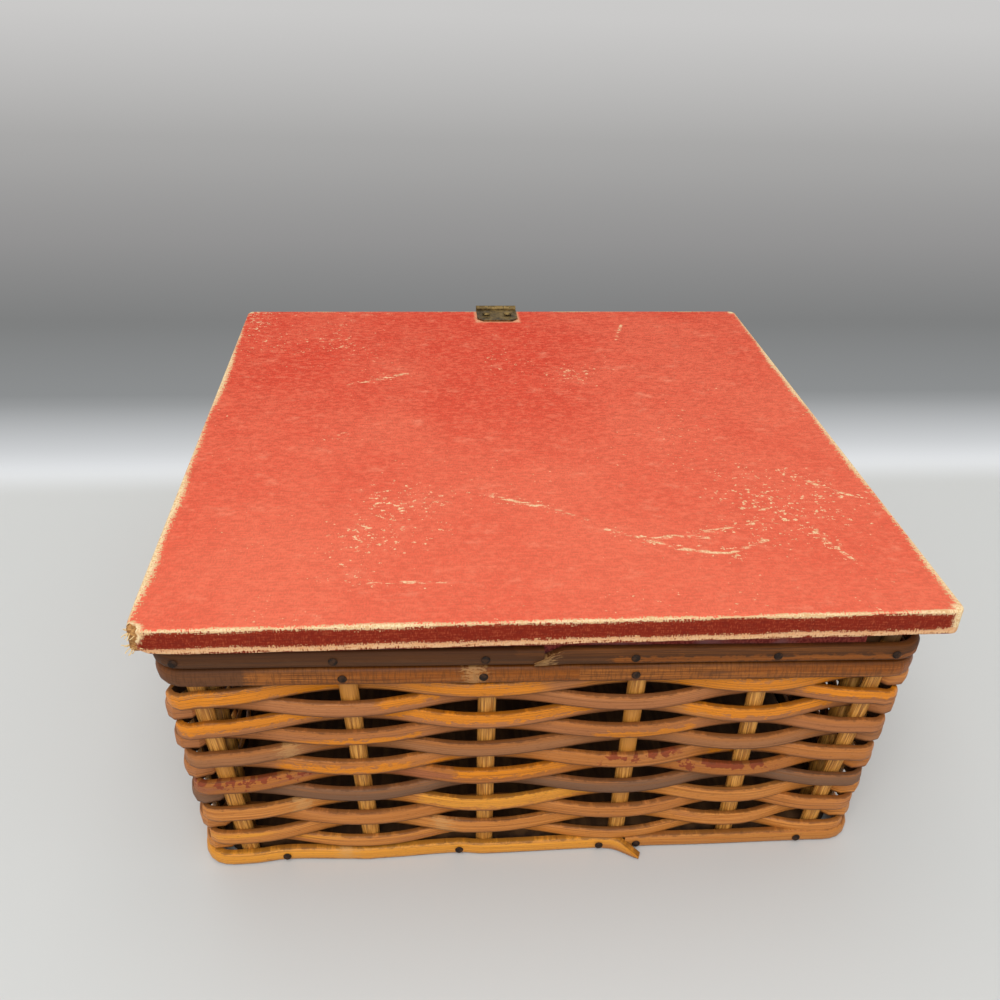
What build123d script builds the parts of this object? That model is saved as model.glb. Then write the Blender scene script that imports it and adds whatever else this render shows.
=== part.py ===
"""A cane sewing box: a woven basket on a wooden base, with a cloth-covered lid.

The basket is square in plan and leans out a little towards the rim. Flat cane
stakes stand round the base board, twelve rows of split cane are woven round
them, and two cane strips are nailed round the rim, over a frame of battens.
The lid is a board in book cloth. It turns on a strip of the same cloth at the
back, and a small brass hasp and turn button close it at the front.

Frame: millimetres, origin at the middle of the underside, +Z up, the front
(the hasp's side) towards +Y and the cloth hinge towards -Y.
"""
from build123d import *
import math
import os

# Whole box
RIM_WIDTH = 244.0  # over the rim strips, along X, at the top of the strips
RIM_DEPTH = 257.0  # the same along Y
RIM_TOP = 96.2  # top edge of the upper rim strip
FOOT_INSET = 5.7  # how far the right and left sides stand in at the floor
FOOT_INSET_DEPTH = 3.4  # the same for the front and the back, which lean less
LID_GAP = 0.2  # air between the frame's top and the closed lid

# Base board
BASE_THICKNESS = 5.0
BASE_CORNER = 4.0

# Stakes
STAKES_PER_SIDE = 6
STAKE_WIDTH = 6.0
STAKE_THICKNESS = 4.0
STAKE_EDGE = 1.2
STAKE_FOOT = 0.5  # the stakes end just clear of the floor
CORNER_STAKE_TOP = 9.0  # from the corner of the wall to the end stake, at the rim
CORNER_STAKE_FOOT = 12.0  # the same at the floor
BACK_DRIFT_TOP = (-3.0, 1.1, 2.6, 8.0, 5.6, 3.0)  # the back stakes stand unevenly
BACK_DRIFT_FOOT = (0.0, 2.4, 1.8, 9.7, 9.8, 0.0)

# Woven rows
ROWS = 12
LOWEST_ROW_WIDTH = 4.5  # the first row is of narrower cane
ROW_GAP = 0.45  # between one row and the next, where they cross
ROWS_OVER_REED = 0.15
ROWS_UNDER_RIM = 1.5
WEAVER_THICKNESS = 2.2
STAKE_HOLD = 0.6  # how far a weaver runs flat past each side of a stake
ROW_BEND_RADIUS = 4.0  # of a row's bend round a corner, at the wall's middle
ROW_BEND_OUT = 3.0  # how far that bend stands out from the wall's middle
ROW_BEND_ANGLES = (30, 60)  # places of a bend's points, in degrees round the corner
ROW_JOINT_STEP = 5  # places behind a stake that the joint moves on from row to row
LAP_GAP = 0.3  # the ends of a strip meet with this much between them
DOME = 0.4  # share of a strip's thickness that its domed face takes

# Strips round the rim and the foot
STRIP_THICKNESS = 3.0
UPPER_STRIP_HEIGHT = 6.0
LOWER_STRIP_HEIGHT = 6.5
STRIP_GAP = 0.8
STRIP_BEND_RADIUS = 5.0
STRIP_BEND_ANGLES = (0, 30, 60, 90)
REED_BEND_RADIUS = 8.0
REED_BEND_ANGLES = (20, 45, 70)
REED_HEIGHT = 5.5
REED_THICKNESS = 3.0
SCARF = 9.0  # length of the slanting joint in a rim strip
UPPER_JOINT = 3.0  # place of the joint along the back
LOWER_JOINT = 9.5
NAIL_HOLD = 3.0  # length of foot reed that lies flat under a nail
NAIL_PULL = 1.5  # how far a nail between two stakes pulls the reed in
NAIL_PULL_SLOPE = 0.25  # and how fast the reed can bend in from a stake
BACK_NAILS = (0.3, 0.77, 0.86, 0.17, 0.83)  # place of each back nail in its bay
STAKES_BEFORE_JOINT = 3  # the foot reed's ends meet at the next stake of the back
REED_START = 2.6  # the nailed end starts this far past the stake's middle
REED_TIP = 7.5  # the sprung end stops this far past it
REED_SPRING = 6.0  # and stands this far out from the wall
REED_CUT = 0.5  # slant of its two ends

# Frame of battens inside the rim, and the posts under its corners
BATTEN_WIDTH = 8.0
BATTEN_HEIGHT = 16.0
BATTEN_CORNER = 3.0
FRAME_RISE = 4.2  # the lid rests on the frame, this far above the rim strips
POST_RADIUS = 4.0
POST_CLEARANCE = 0.3
POST_SIDES = 12

# Lid
SIDE_OVERHANG = 5.0  # of the lid past the rim strips, on average
BACK_OVERHANG = 1.5
FRONT_OVERHANG = 4.0
LID_THICKNESS = 8.0
LID_SHIFT = 1.4  # the lid sits this much to the right of the basket
LID_CORNER = 3.0
CLOTH = 0.6  # thickness of the book cloth with its glue
TURN_IN = 16.0  # width of the cloth that is folded under the lid
CLOTH_EDGE = 1.0  # worn flat along the lid's arrises
LINING_GAP = 0.3

# Cloth hinge
HINGE_CLOTH = 0.5
HINGE_END = 16.0  # from the corner of the wall to the end of the hinge cloth
HINGE_TAIL = 5.5  # length held between the strip and the stakes
HINGE_TAB = 8.0  # length glued under the lid

# Nails
NAIL_HEAD = 1.4
NAIL_CROWN = 0.7
NAIL_CROWN_SHARE = 0.6  # width of a head's flat crown, as a share of the head
NAIL_SHANK = 0.55
RIM_NAIL_LENGTH = 11.0
FOOT_NAIL_LENGTH = 12.0
NAIL_SIDES = 6

# Hasp
LEAF_WIDTH = 20.6
LEAF_DEPTH = 15.0
PLATE = 0.8  # thickness of the brass plate
LEAF_CORNER = 3.0
KNUCKLE_RADIUS = 1.5
PIN_RADIUS = 0.7
PIN_FIT = 0.05  # radial running clearance of every pin and post
KNUCKLE_GAP = 0.2
STRAP_KNUCKLE = 8.0
STRAP_WIDTH = 12.0
STRAP_LENGTH = 25.5
STRAP_SLOT_WIDTH = 4.0
STRAP_SLOT_LENGTH = 10.0
HASP_RISE = 0.9  # height of the pin above the lid's top
HASP_CLEARANCE = 0.3
HASP_EDGE_GAP = 0.1  # between the knuckles and the lid's front edge
HASP_NAIL_SPREAD = 5.5
HASP_NAIL_SETBACK = 7.0
HASP_NAIL_HEAD = 2.2

# Keeper with its turn button
KEEPER_WIDTH = 13.0
KEEPER_HEIGHT = 11.5
KEEPER_CORNER = 2.0
KEEPER_NAIL_SPREAD = 4.6
KEEPER_NAIL_RISE = 3.0  # the nails go into the upper strip
KEEPER_NAIL_HEAD = 1.1
POST_OF_BUTTON = 1.3
BUTTON_LENGTH = 8.6
BUTTON_WIDTH = 3.0
BUTTON_THICKNESS = 1.5

# Worked-out places
WALL_X = RIM_WIDTH / 2 - STRIP_THICKNESS - STAKE_THICKNESS / 2
WALL_Y = RIM_DEPTH / 2 - HINGE_CLOTH - STRIP_THICKNESS - STAKE_THICKNESS / 2
FOOT_SCALE = (1 - FOOT_INSET / (RIM_WIDTH / 2), 1 - FOOT_INSET_DEPTH / WALL_Y)  # of X and Y
INSIDE = -STAKE_THICKNESS / 2  # inner face of the stakes, from the wall's middle
OUTSIDE = STAKE_THICKNESS / 2
UPPER_STRIP_FOOT = RIM_TOP - UPPER_STRIP_HEIGHT
LOWER_STRIP_TOP = UPPER_STRIP_FOOT - STRIP_GAP
LOWER_STRIP_FOOT = LOWER_STRIP_TOP - LOWER_STRIP_HEIGHT
LOWEST_ROW_FOOT = REED_HEIGHT + ROWS_OVER_REED
ROWS_FOOT = LOWEST_ROW_FOOT + LOWEST_ROW_WIDTH + ROW_GAP
ROWS_TOP = LOWER_STRIP_FOOT - ROWS_UNDER_RIM
ROW_PITCH = (ROWS_TOP - ROWS_FOOT + ROW_GAP) / (ROWS - 1)
WEAVER_WIDTH = ROW_PITCH - ROW_GAP
FRAME_TOP = RIM_TOP + FRAME_RISE
FRAME_FOOT = FRAME_TOP - BATTEN_HEIGHT
LID_FOOT = FRAME_TOP + LID_GAP
LID_TOP = LID_FOOT + LID_THICKNESS
LID_BACK = -(WALL_Y + OUTSIDE + HINGE_CLOTH + STRIP_THICKNESS) - BACK_OVERHANG
LID_FRONT = WALL_Y + OUTSIDE + STRIP_THICKNESS + FRONT_OVERHANG
LID_WIDTH = RIM_WIDTH + 2 * SIDE_OVERHANG
LID_DEPTH = LID_FRONT - LID_BACK

SIDES = {
    "back": ((1, 0), (0, -1), WALL_X, WALL_Y),
    "right": ((0, 1), (1, 0), WALL_Y, WALL_X),
    "front": ((-1, 0), (0, 1), WALL_X, WALL_Y),
    "left": ((0, -1), (-1, 0), WALL_Y, WALL_X),
}


def scale_at(z, axis):
    """Plan scale along X (0) or Y (1) at height z: 1 at the rim, least at the floor."""
    return 1 - (1 - FOOT_SCALE[axis]) * (RIM_TOP - z) / RIM_TOP


def on_side(side, along, out):
    """Plan point on a side, measured along the wall and out from its middle."""
    run, face, _, half_out = SIDES[side]
    far = half_out + out
    return (run[0] * along + face[0] * far, run[1] * along + face[1] * far)


def lean(point, z):
    """Carry a plan point at the rim down the leaning wall to height z."""
    return Vector(point[0] * scale_at(z, 0), point[1] * scale_at(z, 1), z)


def wall_plane(side, along, out, z):
    """Plane on the leaning wall face: X along the wall, Z straight out of it."""
    run, face, _, half_out = SIDES[side]
    slope = (half_out + out) * (1 - FOOT_SCALE[0 if face[0] else 1]) / RIM_TOP
    return Plane(
        origin=lean(on_side(side, along, out), z),
        x_dir=(run[0], run[1], 0),
        z_dir=(face[0], face[1], -slope),
    )


def flat_faces(points):
    """The face with these corners, or triangles if they don't lie in one plane."""
    across = (points[1] - points[0]).cross(points[2] - points[0]).normalized()
    if all(abs((point - points[0]).dot(across)) < 1e-7 for point in points[3:]):
        return [Face(Wire.make_polygon(points))]
    pairs = zip(points[1:], points[2:])
    return [Face(Wire.make_polygon([points[0], before, after])) for before, after in pairs]


def stacked(levels):
    """Solid with flat faces through a stack of rings with equal point counts."""
    faces = [Face(Wire.make_polygon(levels[0])), Face(Wire.make_polygon(levels[-1]))]
    for low, high in zip(levels, levels[1:]):
        for i in range(len(low)):
            j = (i + 1) % len(low)
            faces += flat_faces([low[i], low[j], high[j], high[i]])
    return Solid(Shell(faces))


def leaning_block(outline_low, outline_high, z_low, z_high):
    """Block between two plan outlines, carried down the lean of the walls."""
    low = [lean(point, z_low) for point in outline_low]
    high = [lean(point, z_high) for point in outline_high]
    return stacked([low, high])


def offset_path(path, out, slant=0.0):
    """Move an open plan path outwards, mitred at its bends.

    The path runs counter-clockwise round the basket, so out is to its right.
    slant slides both ends along the path, in proportion to out.
    """
    runs = []
    for start, end in zip(path, path[1:]):
        length = math.dist(start, end)
        runs.append(((end[0] - start[0]) / length, (end[1] - start[1]) / length))
    moved = []
    for i, point in enumerate(path):
        before = runs[max(i - 1, 0)]
        after = runs[min(i, len(runs) - 1)]
        right = (before[1] + after[1], -before[0] - after[0])
        size = out / (right[0] * after[1] - right[1] * after[0])
        shift = slant * out if i in (0, len(path) - 1) else 0.0
        moved.append(
            (
                point[0] + right[0] * size + after[0] * shift,
                point[1] + right[1] * size + after[1] * shift,
            )
        )
    return moved


def cane_band(path, thickness, foot, top, slant=0.0):
    """Split cane bent along a plan path: flat inside, domed outside."""
    half = thickness / 2
    inner = offset_path(path, -half, slant)
    crown = offset_path(path, half, slant)
    shoulder = offset_path(path, half - DOME * thickness, slant)
    inner_foot = [lean(point, foot) for point in inner]
    outer_foot = [lean(point, foot) for point in shoulder]
    ridge = [lean(point, (foot + top) / 2) for point in crown]
    outer_top = [lean(point, top) for point in shoulder]
    inner_top = [lean(point, top) for point in inner]
    faces = [
        Face(Wire.make_polygon(inner_foot + outer_foot[::-1])),
        Face(Wire.make_polygon(inner_top + outer_top[::-1])),
    ]
    for end in (0, -1):
        edge = [inner_foot[end], outer_foot[end], ridge[end], outer_top[end], inner_top[end]]
        faces += flat_faces(edge)
    for low, high in ((outer_foot, ridge), (ridge, outer_top), (inner_top, inner_foot)):
        for i in range(len(path) - 1):
            faces += flat_faces([low[i], low[i + 1], high[i + 1], high[i]])
    return Solid(Shell(faces))


def stake_places(side, z):
    """Places of a side's stakes along it, at height z, on the rim's scale."""
    half_run = SIDES[side][2]
    up = z / RIM_TOP
    corner = CORNER_STAKE_FOOT + (CORNER_STAKE_TOP - CORNER_STAKE_FOOT) * up
    end = half_run - corner
    places = []
    for i in range(STAKES_PER_SIDE):
        place = -end + 2 * end * i / (STAKES_PER_SIDE - 1)
        if side == "back" and i < len(BACK_DRIFT_TOP):
            place += BACK_DRIFT_FOOT[i] + (BACK_DRIFT_TOP[i] - BACK_DRIFT_FOOT[i]) * up
        places.append(place)
    return places


def corner_bend(side, out, radius, angles):
    """Plan points round the corner at the far end of a side, out from the wall's middle."""
    run, face, half_run, half_out = SIDES[side]
    points = []
    for angle in angles:
        far = half_run - radius + (radius + out) * math.sin(math.radians(angle))
        wide = half_out - radius + (radius + out) * math.cos(math.radians(angle))
        points.append((run[0] * far + face[0] * wide, run[1] * far + face[1] * wide))
    return points


def stake(side, index):
    """Flat-oval stake from the base board's edge up to the rim."""
    half = STAKE_WIDTH / 2
    outlines = []
    for z in (STAKE_FOOT, RIM_TOP):
        middle = stake_places(side, z)[index]
        corners = [
            (-half, OUTSIDE - STAKE_EDGE),
            (-half + STAKE_EDGE, OUTSIDE),
            (half - STAKE_EDGE, OUTSIDE),
            (half, OUTSIDE - STAKE_EDGE),
            (half, INSIDE + STAKE_EDGE),
            (half - STAKE_EDGE, INSIDE),
            (-half + STAKE_EDGE, INSIDE),
            (-half, INSIDE + STAKE_EDGE),
        ]
        outlines.append([on_side(side, middle + along, out) for along, out in corners])
    return leaning_block(outlines[0], outlines[1], STAKE_FOOT, RIM_TOP)


def weaver(row):
    """One woven row: over and under the stakes in turn, all the way round.

    The ends meet behind a stake, a few stakes further round in each row.
    """
    foot = ROWS_FOOT + ROW_PITCH * (row - 1) if row else LOWEST_ROW_FOOT
    width = WEAVER_WIDTH if row else LOWEST_ROW_WIDTH
    middle = foot + width / 2
    reach = (STAKE_THICKNESS + WEAVER_THICKNESS) / 2
    hold = STAKE_WIDTH / 2 + STAKE_HOLD
    starts_outside = (ROWS - row) % 2
    path = []
    count = 0
    joints = []
    for side in SIDES:
        places = stake_places(side, middle)
        for i, place in enumerate(places):
            over = 1 if (count + starts_outside) % 2 else -1
            if over < 0:
                joints.append(len(path))
            path.append(on_side(side, place - hold, reach * over))
            path.append(on_side(side, place + hold, reach * over))
            count += 1
        path += corner_bend(side, ROW_BEND_OUT, ROW_BEND_RADIUS, ROW_BEND_ANGLES)
    first = joints[(ROW_JOINT_STEP * row) % len(joints)]
    start, end = path[first], path[first + 1]
    middle_x, middle_y = (start[0] + end[0]) / 2, (start[1] + end[1]) / 2
    length = math.dist(start, end)
    step_x = (end[0] - start[0]) / length * LAP_GAP / 2
    step_y = (end[1] - start[1]) / length * LAP_GAP / 2
    loop = path[first + 1 :] + path[: first + 1]
    loop = [(middle_x + step_x, middle_y + step_y)] + loop
    loop.append((middle_x - step_x, middle_y - step_y))
    return cane_band(loop, WEAVER_THICKNESS, foot, foot + width)


def rim_strip(foot, top, joint):
    """Strip round the outside of the rim, scarfed at one place on the back."""
    reach = OUTSIDE + STRIP_THICKNESS / 2
    path = []
    for side in SIDES:
        path += corner_bend(side, reach, STRIP_BEND_RADIUS, STRIP_BEND_ANGLES)
    back = -(WALL_Y + reach + HINGE_CLOTH)
    clear_of_cloth = [(x, back) if abs(y + WALL_Y + reach) < 1e-6 else (x, y) for x, y in path]
    step = LAP_GAP / 2
    loop = [(joint + step, back)] + clear_of_cloth + [(joint - step, back)]
    return cane_band(loop, STRIP_THICKNESS, foot, top, SCARF / STRIP_THICKNESS)


def foot_nail_places(side):
    """Place of each foot nail along a side, and how far it pulls the reed in."""
    stakes = stake_places(side, REED_HEIGHT / 2)
    hold = STAKE_WIDTH / 2 + STAKE_HOLD + NAIL_HOLD / 2
    nails = []
    for i, (before, after) in enumerate(zip(stakes, stakes[1:])):
        share = BACK_NAILS[i] if side == "back" and i < len(BACK_NAILS) else 0.5
        place = before + (after - before) * share
        room = min(place - before, after - place) - hold
        nails.append((place, min(NAIL_PULL, NAIL_PULL_SLOPE * room)))
    return nails


def foot_reed():
    """Reed round the foot: over each stake, nailed to the board in between.

    Its ends meet at one stake of the back, where the outer end has sprung out.
    """
    middle = REED_HEIGHT / 2
    out = OUTSIDE + REED_THICKNESS / 2
    hold = STAKE_WIDTH / 2 + STAKE_HOLD
    joint = stake_places("back", middle)[STAKES_BEFORE_JOINT]
    after_joint = [on_side("back", joint + REED_START, out)]
    before_joint = []
    path = before_joint
    for side in SIDES:
        nails = foot_nail_places(side)
        for i, place in enumerate(stake_places(side, middle)):
            at_joint = side == "back" and i == STAKES_BEFORE_JOINT
            if not at_joint:
                path.append(on_side(side, place - hold, out))
            if at_joint:
                path = after_joint
            path.append(on_side(side, place + hold, out))
            if i < len(nails):
                nail_place, pull = nails[i]
                path.append(on_side(side, nail_place - NAIL_HOLD / 2, out - pull))
                path.append(on_side(side, nail_place + NAIL_HOLD / 2, out - pull))
        path += corner_bend(side, out, REED_BEND_RADIUS, REED_BEND_ANGLES)
    tip = on_side("back", joint + REED_TIP, out + REED_SPRING)
    loop = after_joint + before_joint + [tip]
    return cane_band(loop, REED_THICKNESS, 0.0, REED_HEIGHT, REED_CUT)


def base_board():
    """Thin board that the stakes are set round, its edges leaning with the walls."""
    outline = []
    for side in SIDES:
        end = SIDES[side][2] + INSIDE - BASE_CORNER
        outline += [on_side(side, -end, INSIDE), on_side(side, end, INSIDE)]
    return leaning_block(outline, outline, 0.0, BASE_THICKNESS)


def batten(side):
    """One side of the frame inside the rim, mitred into its neighbours."""
    end = SIDES[side][2] + INSIDE
    inner = INSIDE - BATTEN_WIDTH
    outline = [
        on_side(side, -end + BATTEN_WIDTH, inner),
        on_side(side, -end + BATTEN_CORNER / 2, INSIDE - BATTEN_CORNER / 2),
        on_side(side, -end + BATTEN_CORNER, INSIDE),
        on_side(side, end - BATTEN_CORNER, INSIDE),
        on_side(side, end - BATTEN_CORNER / 2, INSIDE - BATTEN_CORNER / 2),
        on_side(side, end - BATTEN_WIDTH, inner),
    ]
    return leaning_block(outline, outline, FRAME_FOOT, FRAME_TOP)


def corner_posts():
    """Four round posts between the base board and the frame's corners."""
    inset = STAKE_THICKNESS / 2 + WEAVER_THICKNESS + POST_CLEARANCE + POST_RADIUS
    posts = []
    for x_sign in (-1, 1):
        for y_sign in (-1, 1):
            middle = (x_sign * (WALL_X - inset), y_sign * (WALL_Y - inset))
            outline = []
            for i in range(POST_SIDES):
                turn = 2 * math.pi * i / POST_SIDES
                outline.append(
                    (
                        middle[0] + POST_RADIUS * math.cos(turn),
                        middle[1] + POST_RADIUS * math.sin(turn),
                    )
                )
            posts.append(leaning_block(outline, outline, BASE_THICKNESS, FRAME_FOOT))
    return Compound(posts)


def nail(plane, head, length):
    """Small domed nail, driven in along the plane's normal."""
    levels = []
    profile = ((NAIL_SHANK, -length), (NAIL_SHANK, 0.0), (head, 0.0), (head * NAIL_CROWN_SHARE, NAIL_CROWN))
    for radius, height in profile:
        ring = []
        for i in range(NAIL_SIDES):
            turn = 2 * math.pi * i / NAIL_SIDES
            ring.append(Vector(radius * math.cos(turn), radius * math.sin(turn), height))
        levels.append(ring)
    return plane.location * stacked(levels)


def rim_nails(stakes, z):
    """Nails through a rim strip and chosen stakes into the battens."""
    nails = []
    for side in SIDES:
        out = OUTSIDE + STRIP_THICKNESS + (HINGE_CLOTH if side == "back" else 0.0)
        for i, place in enumerate(stake_places(side, z)):
            if i in stakes:
                nails.append(nail(wall_plane(side, place, out, z), NAIL_HEAD, RIM_NAIL_LENGTH))
    return Compound(nails)


def foot_nails():
    """Nails through the foot reed into the base board's edge, between stakes."""
    z = BASE_THICKNESS / 2
    nails = []
    for side in SIDES:
        for place, pull in foot_nail_places(side):
            plane = wall_plane(side, place, OUTSIDE + REED_THICKNESS - pull, z)
            nails.append(nail(plane, NAIL_HEAD, FOOT_NAIL_LENGTH))
    return Compound(nails)


def lid_board():
    """Board inside the lid."""
    low = LID_FOOT + CLOTH
    width = LID_WIDTH - 2 * CLOTH
    depth = LID_DEPTH - 2 * CLOTH
    height = LID_THICKNESS - 2 * CLOTH
    plan = Plane.XY.offset(low) * Rectangle(width, depth)
    board = extrude(plan, height)
    board = fillet(board.edges().filter_by(Axis.Z), LID_CORNER - CLOTH)
    return Pos(LID_SHIFT, (LID_BACK + LID_FRONT) / 2, 0) * board


def lid_cover():
    """Book cloth over the top and edges of the board, folded in underneath."""
    plan = Plane.XY.offset(LID_FOOT) * Rectangle(LID_WIDTH, LID_DEPTH)
    cloth = extrude(plan, LID_THICKNESS)
    cloth = fillet(cloth.edges().filter_by(Axis.Z), LID_CORNER)
    arrises = cloth.faces().sort_by(Axis.Z)[-1].edges() + cloth.faces().sort_by(Axis.Z)[0].edges()
    cloth = chamfer(arrises, CLOTH_EDGE)
    bare = Plane.XY.offset(LID_FOOT) * Rectangle(LID_WIDTH - 2 * TURN_IN, LID_DEPTH - 2 * TURN_IN)
    cloth = Pos(LID_SHIFT, (LID_BACK + LID_FRONT) / 2, 0) * (cloth - extrude(bare, CLOTH))
    return cloth - lid_board()


def lid_lining():
    """Lining glued inside the lid, between the turned-in edges."""
    width = LID_WIDTH - 2 * TURN_IN - 2 * LINING_GAP
    depth = LID_DEPTH - 2 * TURN_IN - 2 * LINING_GAP
    sheet = extrude(Plane.XY.offset(LID_FOOT) * Rectangle(width, depth), CLOTH)
    return Pos(LID_SHIFT, (LID_BACK + LID_FRONT) / 2, 0) * sheet


def hinge_cloth():
    """Strip of cloth from under the rim strip up to the lid's lower back edge."""
    tail = RIM_TOP - HINGE_TAIL
    near = -(WALL_Y + OUTSIDE)
    far = near - HINGE_CLOTH
    fold = LID_BACK + HINGE_CLOTH
    section = Polyline(
        (near * scale_at(tail, 1), tail),
        (near, RIM_TOP),
        (fold + HINGE_CLOTH, LID_FOOT - HINGE_CLOTH),
        (fold + HINGE_TAB, LID_FOOT - HINGE_CLOTH),
        (fold + HINGE_TAB, LID_FOOT),
        (fold - HINGE_CLOTH / 2, LID_FOOT),
        (far, RIM_TOP),
        (far * scale_at(tail, 1), tail),
        close=True,
    )
    half = WALL_X - HINGE_END
    plane = Plane(origin=(-half, 0, 0), x_dir=(0, 1, 0), z_dir=(1, 0, 0))
    return extrude(plane * make_face(section), 2 * half)


# The hasp's pin lies in front of the lid's edge, a little above its top
HASP_PIN_Y = LID_FRONT + KNUCKLE_RADIUS + HASP_EDGE_GAP
HASP_PIN_Z = LID_TOP + HASP_RISE
STRAP_BACK = KNUCKLE_RADIUS  # from the pin back to the strap's inner face
KEEPER_Z = (UPPER_STRIP_FOOT + LOWER_STRIP_TOP) / 2
KEEPER_OUT = OUTSIDE + STRIP_THICKNESS
KEEPER_FACE = on_side("front", 0, KEEPER_OUT)[1] * scale_at(KEEPER_Z, 1)
# The button's bar passes outside the strap when the strap lies on the lid's edge
BUTTON_STAND = HASP_PIN_Y - STRAP_BACK + PLATE + HASP_CLEARANCE - KEEPER_FACE
# Unlatched, the strap leans on the outside of the bar, clear of it as it turns
BAR_TOP = KEEPER_Z + BUTTON_LENGTH / 2
LEAN_OUT = KEEPER_FACE + BUTTON_STAND + BUTTON_THICKNESS + HASP_CLEARANCE - HASP_PIN_Y
DROP = HASP_PIN_Z - BAR_TOP
STRAP_REST = math.degrees(
    math.atan2(LEAN_OUT, DROP) + math.asin(STRAP_BACK / math.hypot(LEAN_OUT, DROP))
)


def along_x(radius, length, x=0.0):
    """Round bar along X through the hasp's pin line."""
    return Pos(x, HASP_PIN_Y, HASP_PIN_Z) * Rot(0, 90, 0) * Cylinder(radius, length)


def hasp_leaf():
    """Plate nailed on the lid's top, with the two outer knuckles."""
    x = LID_SHIFT
    bore = PIN_RADIUS + PIN_FIT
    knuckle = (LEAF_WIDTH - STRAP_KNUCKLE) / 2 - KNUCKLE_GAP
    plate_depth = LEAF_DEPTH + HASP_PIN_Y - LID_FRONT
    middle_y = HASP_PIN_Y - plate_depth / 2
    plan = Plane.XY.offset(LID_TOP) * Pos(x, middle_y) * Rectangle(LEAF_WIDTH, plate_depth)
    leaf = extrude(plan, PLATE)
    corners = leaf.edges().filter_by(Axis.Z).sort_by(Axis.Y)[:2]
    leaf = chamfer(corners, LEAF_CORNER)
    leaf -= Pos(x, HASP_PIN_Y, LID_TOP) * Box(
        STRAP_KNUCKLE + 2 * KNUCKLE_GAP, 2 * KNUCKLE_RADIUS + 2 * KNUCKLE_GAP, 4 * PLATE
    )
    for sign in (-1, 1):
        middle = x + sign * (LEAF_WIDTH - knuckle) / 2
        leaf += along_x(KNUCKLE_RADIUS, knuckle, middle)
    return leaf - along_x(bore, 2 * LEAF_WIDTH, x)


def hasp_strap():
    """Slotted plate hanging from the middle knuckle, leaning on the button."""
    x = LID_SHIFT
    bore = PIN_RADIUS + PIN_FIT
    plate = Pos(0, -STRAP_BACK + PLATE / 2, -STRAP_LENGTH / 2) * Box(STRAP_WIDTH, PLATE, STRAP_LENGTH)
    plate = fillet(plate.edges().filter_by(Axis.Y).sort_by(Axis.Z)[:2], STRAP_WIDTH / 3)
    shoulder = (STRAP_WIDTH - STRAP_KNUCKLE) / 2
    for sign in (-1, 1):
        corner = Box(2 * shoulder, 4 * PLATE, 2 * KNUCKLE_RADIUS + 2 * KNUCKLE_GAP)
        plate -= Pos(sign * STRAP_WIDTH / 2, -STRAP_BACK, 0) * corner
    slot_middle = -(HASP_PIN_Z - KEEPER_Z)
    slot_plane = Plane.XZ * Pos(0, slot_middle)
    slot = extrude(slot_plane * SlotOverall(STRAP_SLOT_LENGTH, STRAP_SLOT_WIDTH, 90), 4 * PLATE, both=True)
    plate -= slot
    roll = Rot(0, 90, 0) * Cylinder(KNUCKLE_RADIUS, STRAP_KNUCKLE)
    strap = plate + roll - Rot(0, 90, 0) * Cylinder(bore, 2 * STRAP_KNUCKLE)
    return Pos(x, HASP_PIN_Y, HASP_PIN_Z) * Rot(STRAP_REST, 0, 0) * strap


def hasp_pin():
    """Pin through the three knuckles."""
    return along_x(PIN_RADIUS, LEAF_WIDTH, LID_SHIFT)


def hasp_nails():
    """Two domed nails through the leaf into the lid board."""
    nails = []
    for sign in (-1, 1):
        place = (
            LID_SHIFT + sign * HASP_NAIL_SPREAD,
            LID_FRONT - HASP_NAIL_SETBACK,
            LID_TOP + PLATE,
        )
        nails.append(nail(Plane(origin=place), HASP_NAIL_HEAD, LID_THICKNESS - 2 * CLOTH))
    return Compound(nails)


def keeper_plane(out=0.0):
    """Plane on the face of the front rim strips, under the hasp."""
    plane = wall_plane("front", -LID_SHIFT, KEEPER_OUT, KEEPER_Z)
    return plane.offset(out)


def keeper_plate():
    """Plate nailed across both rim strips, with a hole for the button's post."""
    face = Rectangle(KEEPER_WIDTH, KEEPER_HEIGHT) - Circle(POST_OF_BUTTON + PIN_FIT)
    plate = extrude(keeper_plane() * face, PLATE)
    upright = Axis((0, 0, 0), keeper_plane().z_dir)
    outer_corners = plate.edges().filter_by(upright)
    return chamfer(outer_corners, KEEPER_CORNER)


def keeper_button():
    """Post and bar that turn through a quarter circle to hold the hasp."""
    post = extrude(keeper_plane() * Circle(POST_OF_BUTTON), BUTTON_STAND)
    bar = extrude(keeper_plane(BUTTON_STAND) * SlotOverall(BUTTON_LENGTH, BUTTON_WIDTH), BUTTON_THICKNESS)
    return post + bar


def keeper_nails():
    """Two small nails near the upper corners of the keeper plate."""
    nails = []
    for sign in (-1, 1):
        plane = keeper_plane(PLATE)
        plane.origin += plane.x_dir * (sign * KEEPER_NAIL_SPREAD)
        plane.origin += plane.y_dir * KEEPER_NAIL_RISE
        nails.append(nail(plane, KEEPER_NAIL_HEAD, RIM_NAIL_LENGTH))
    return Compound(nails)


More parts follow.
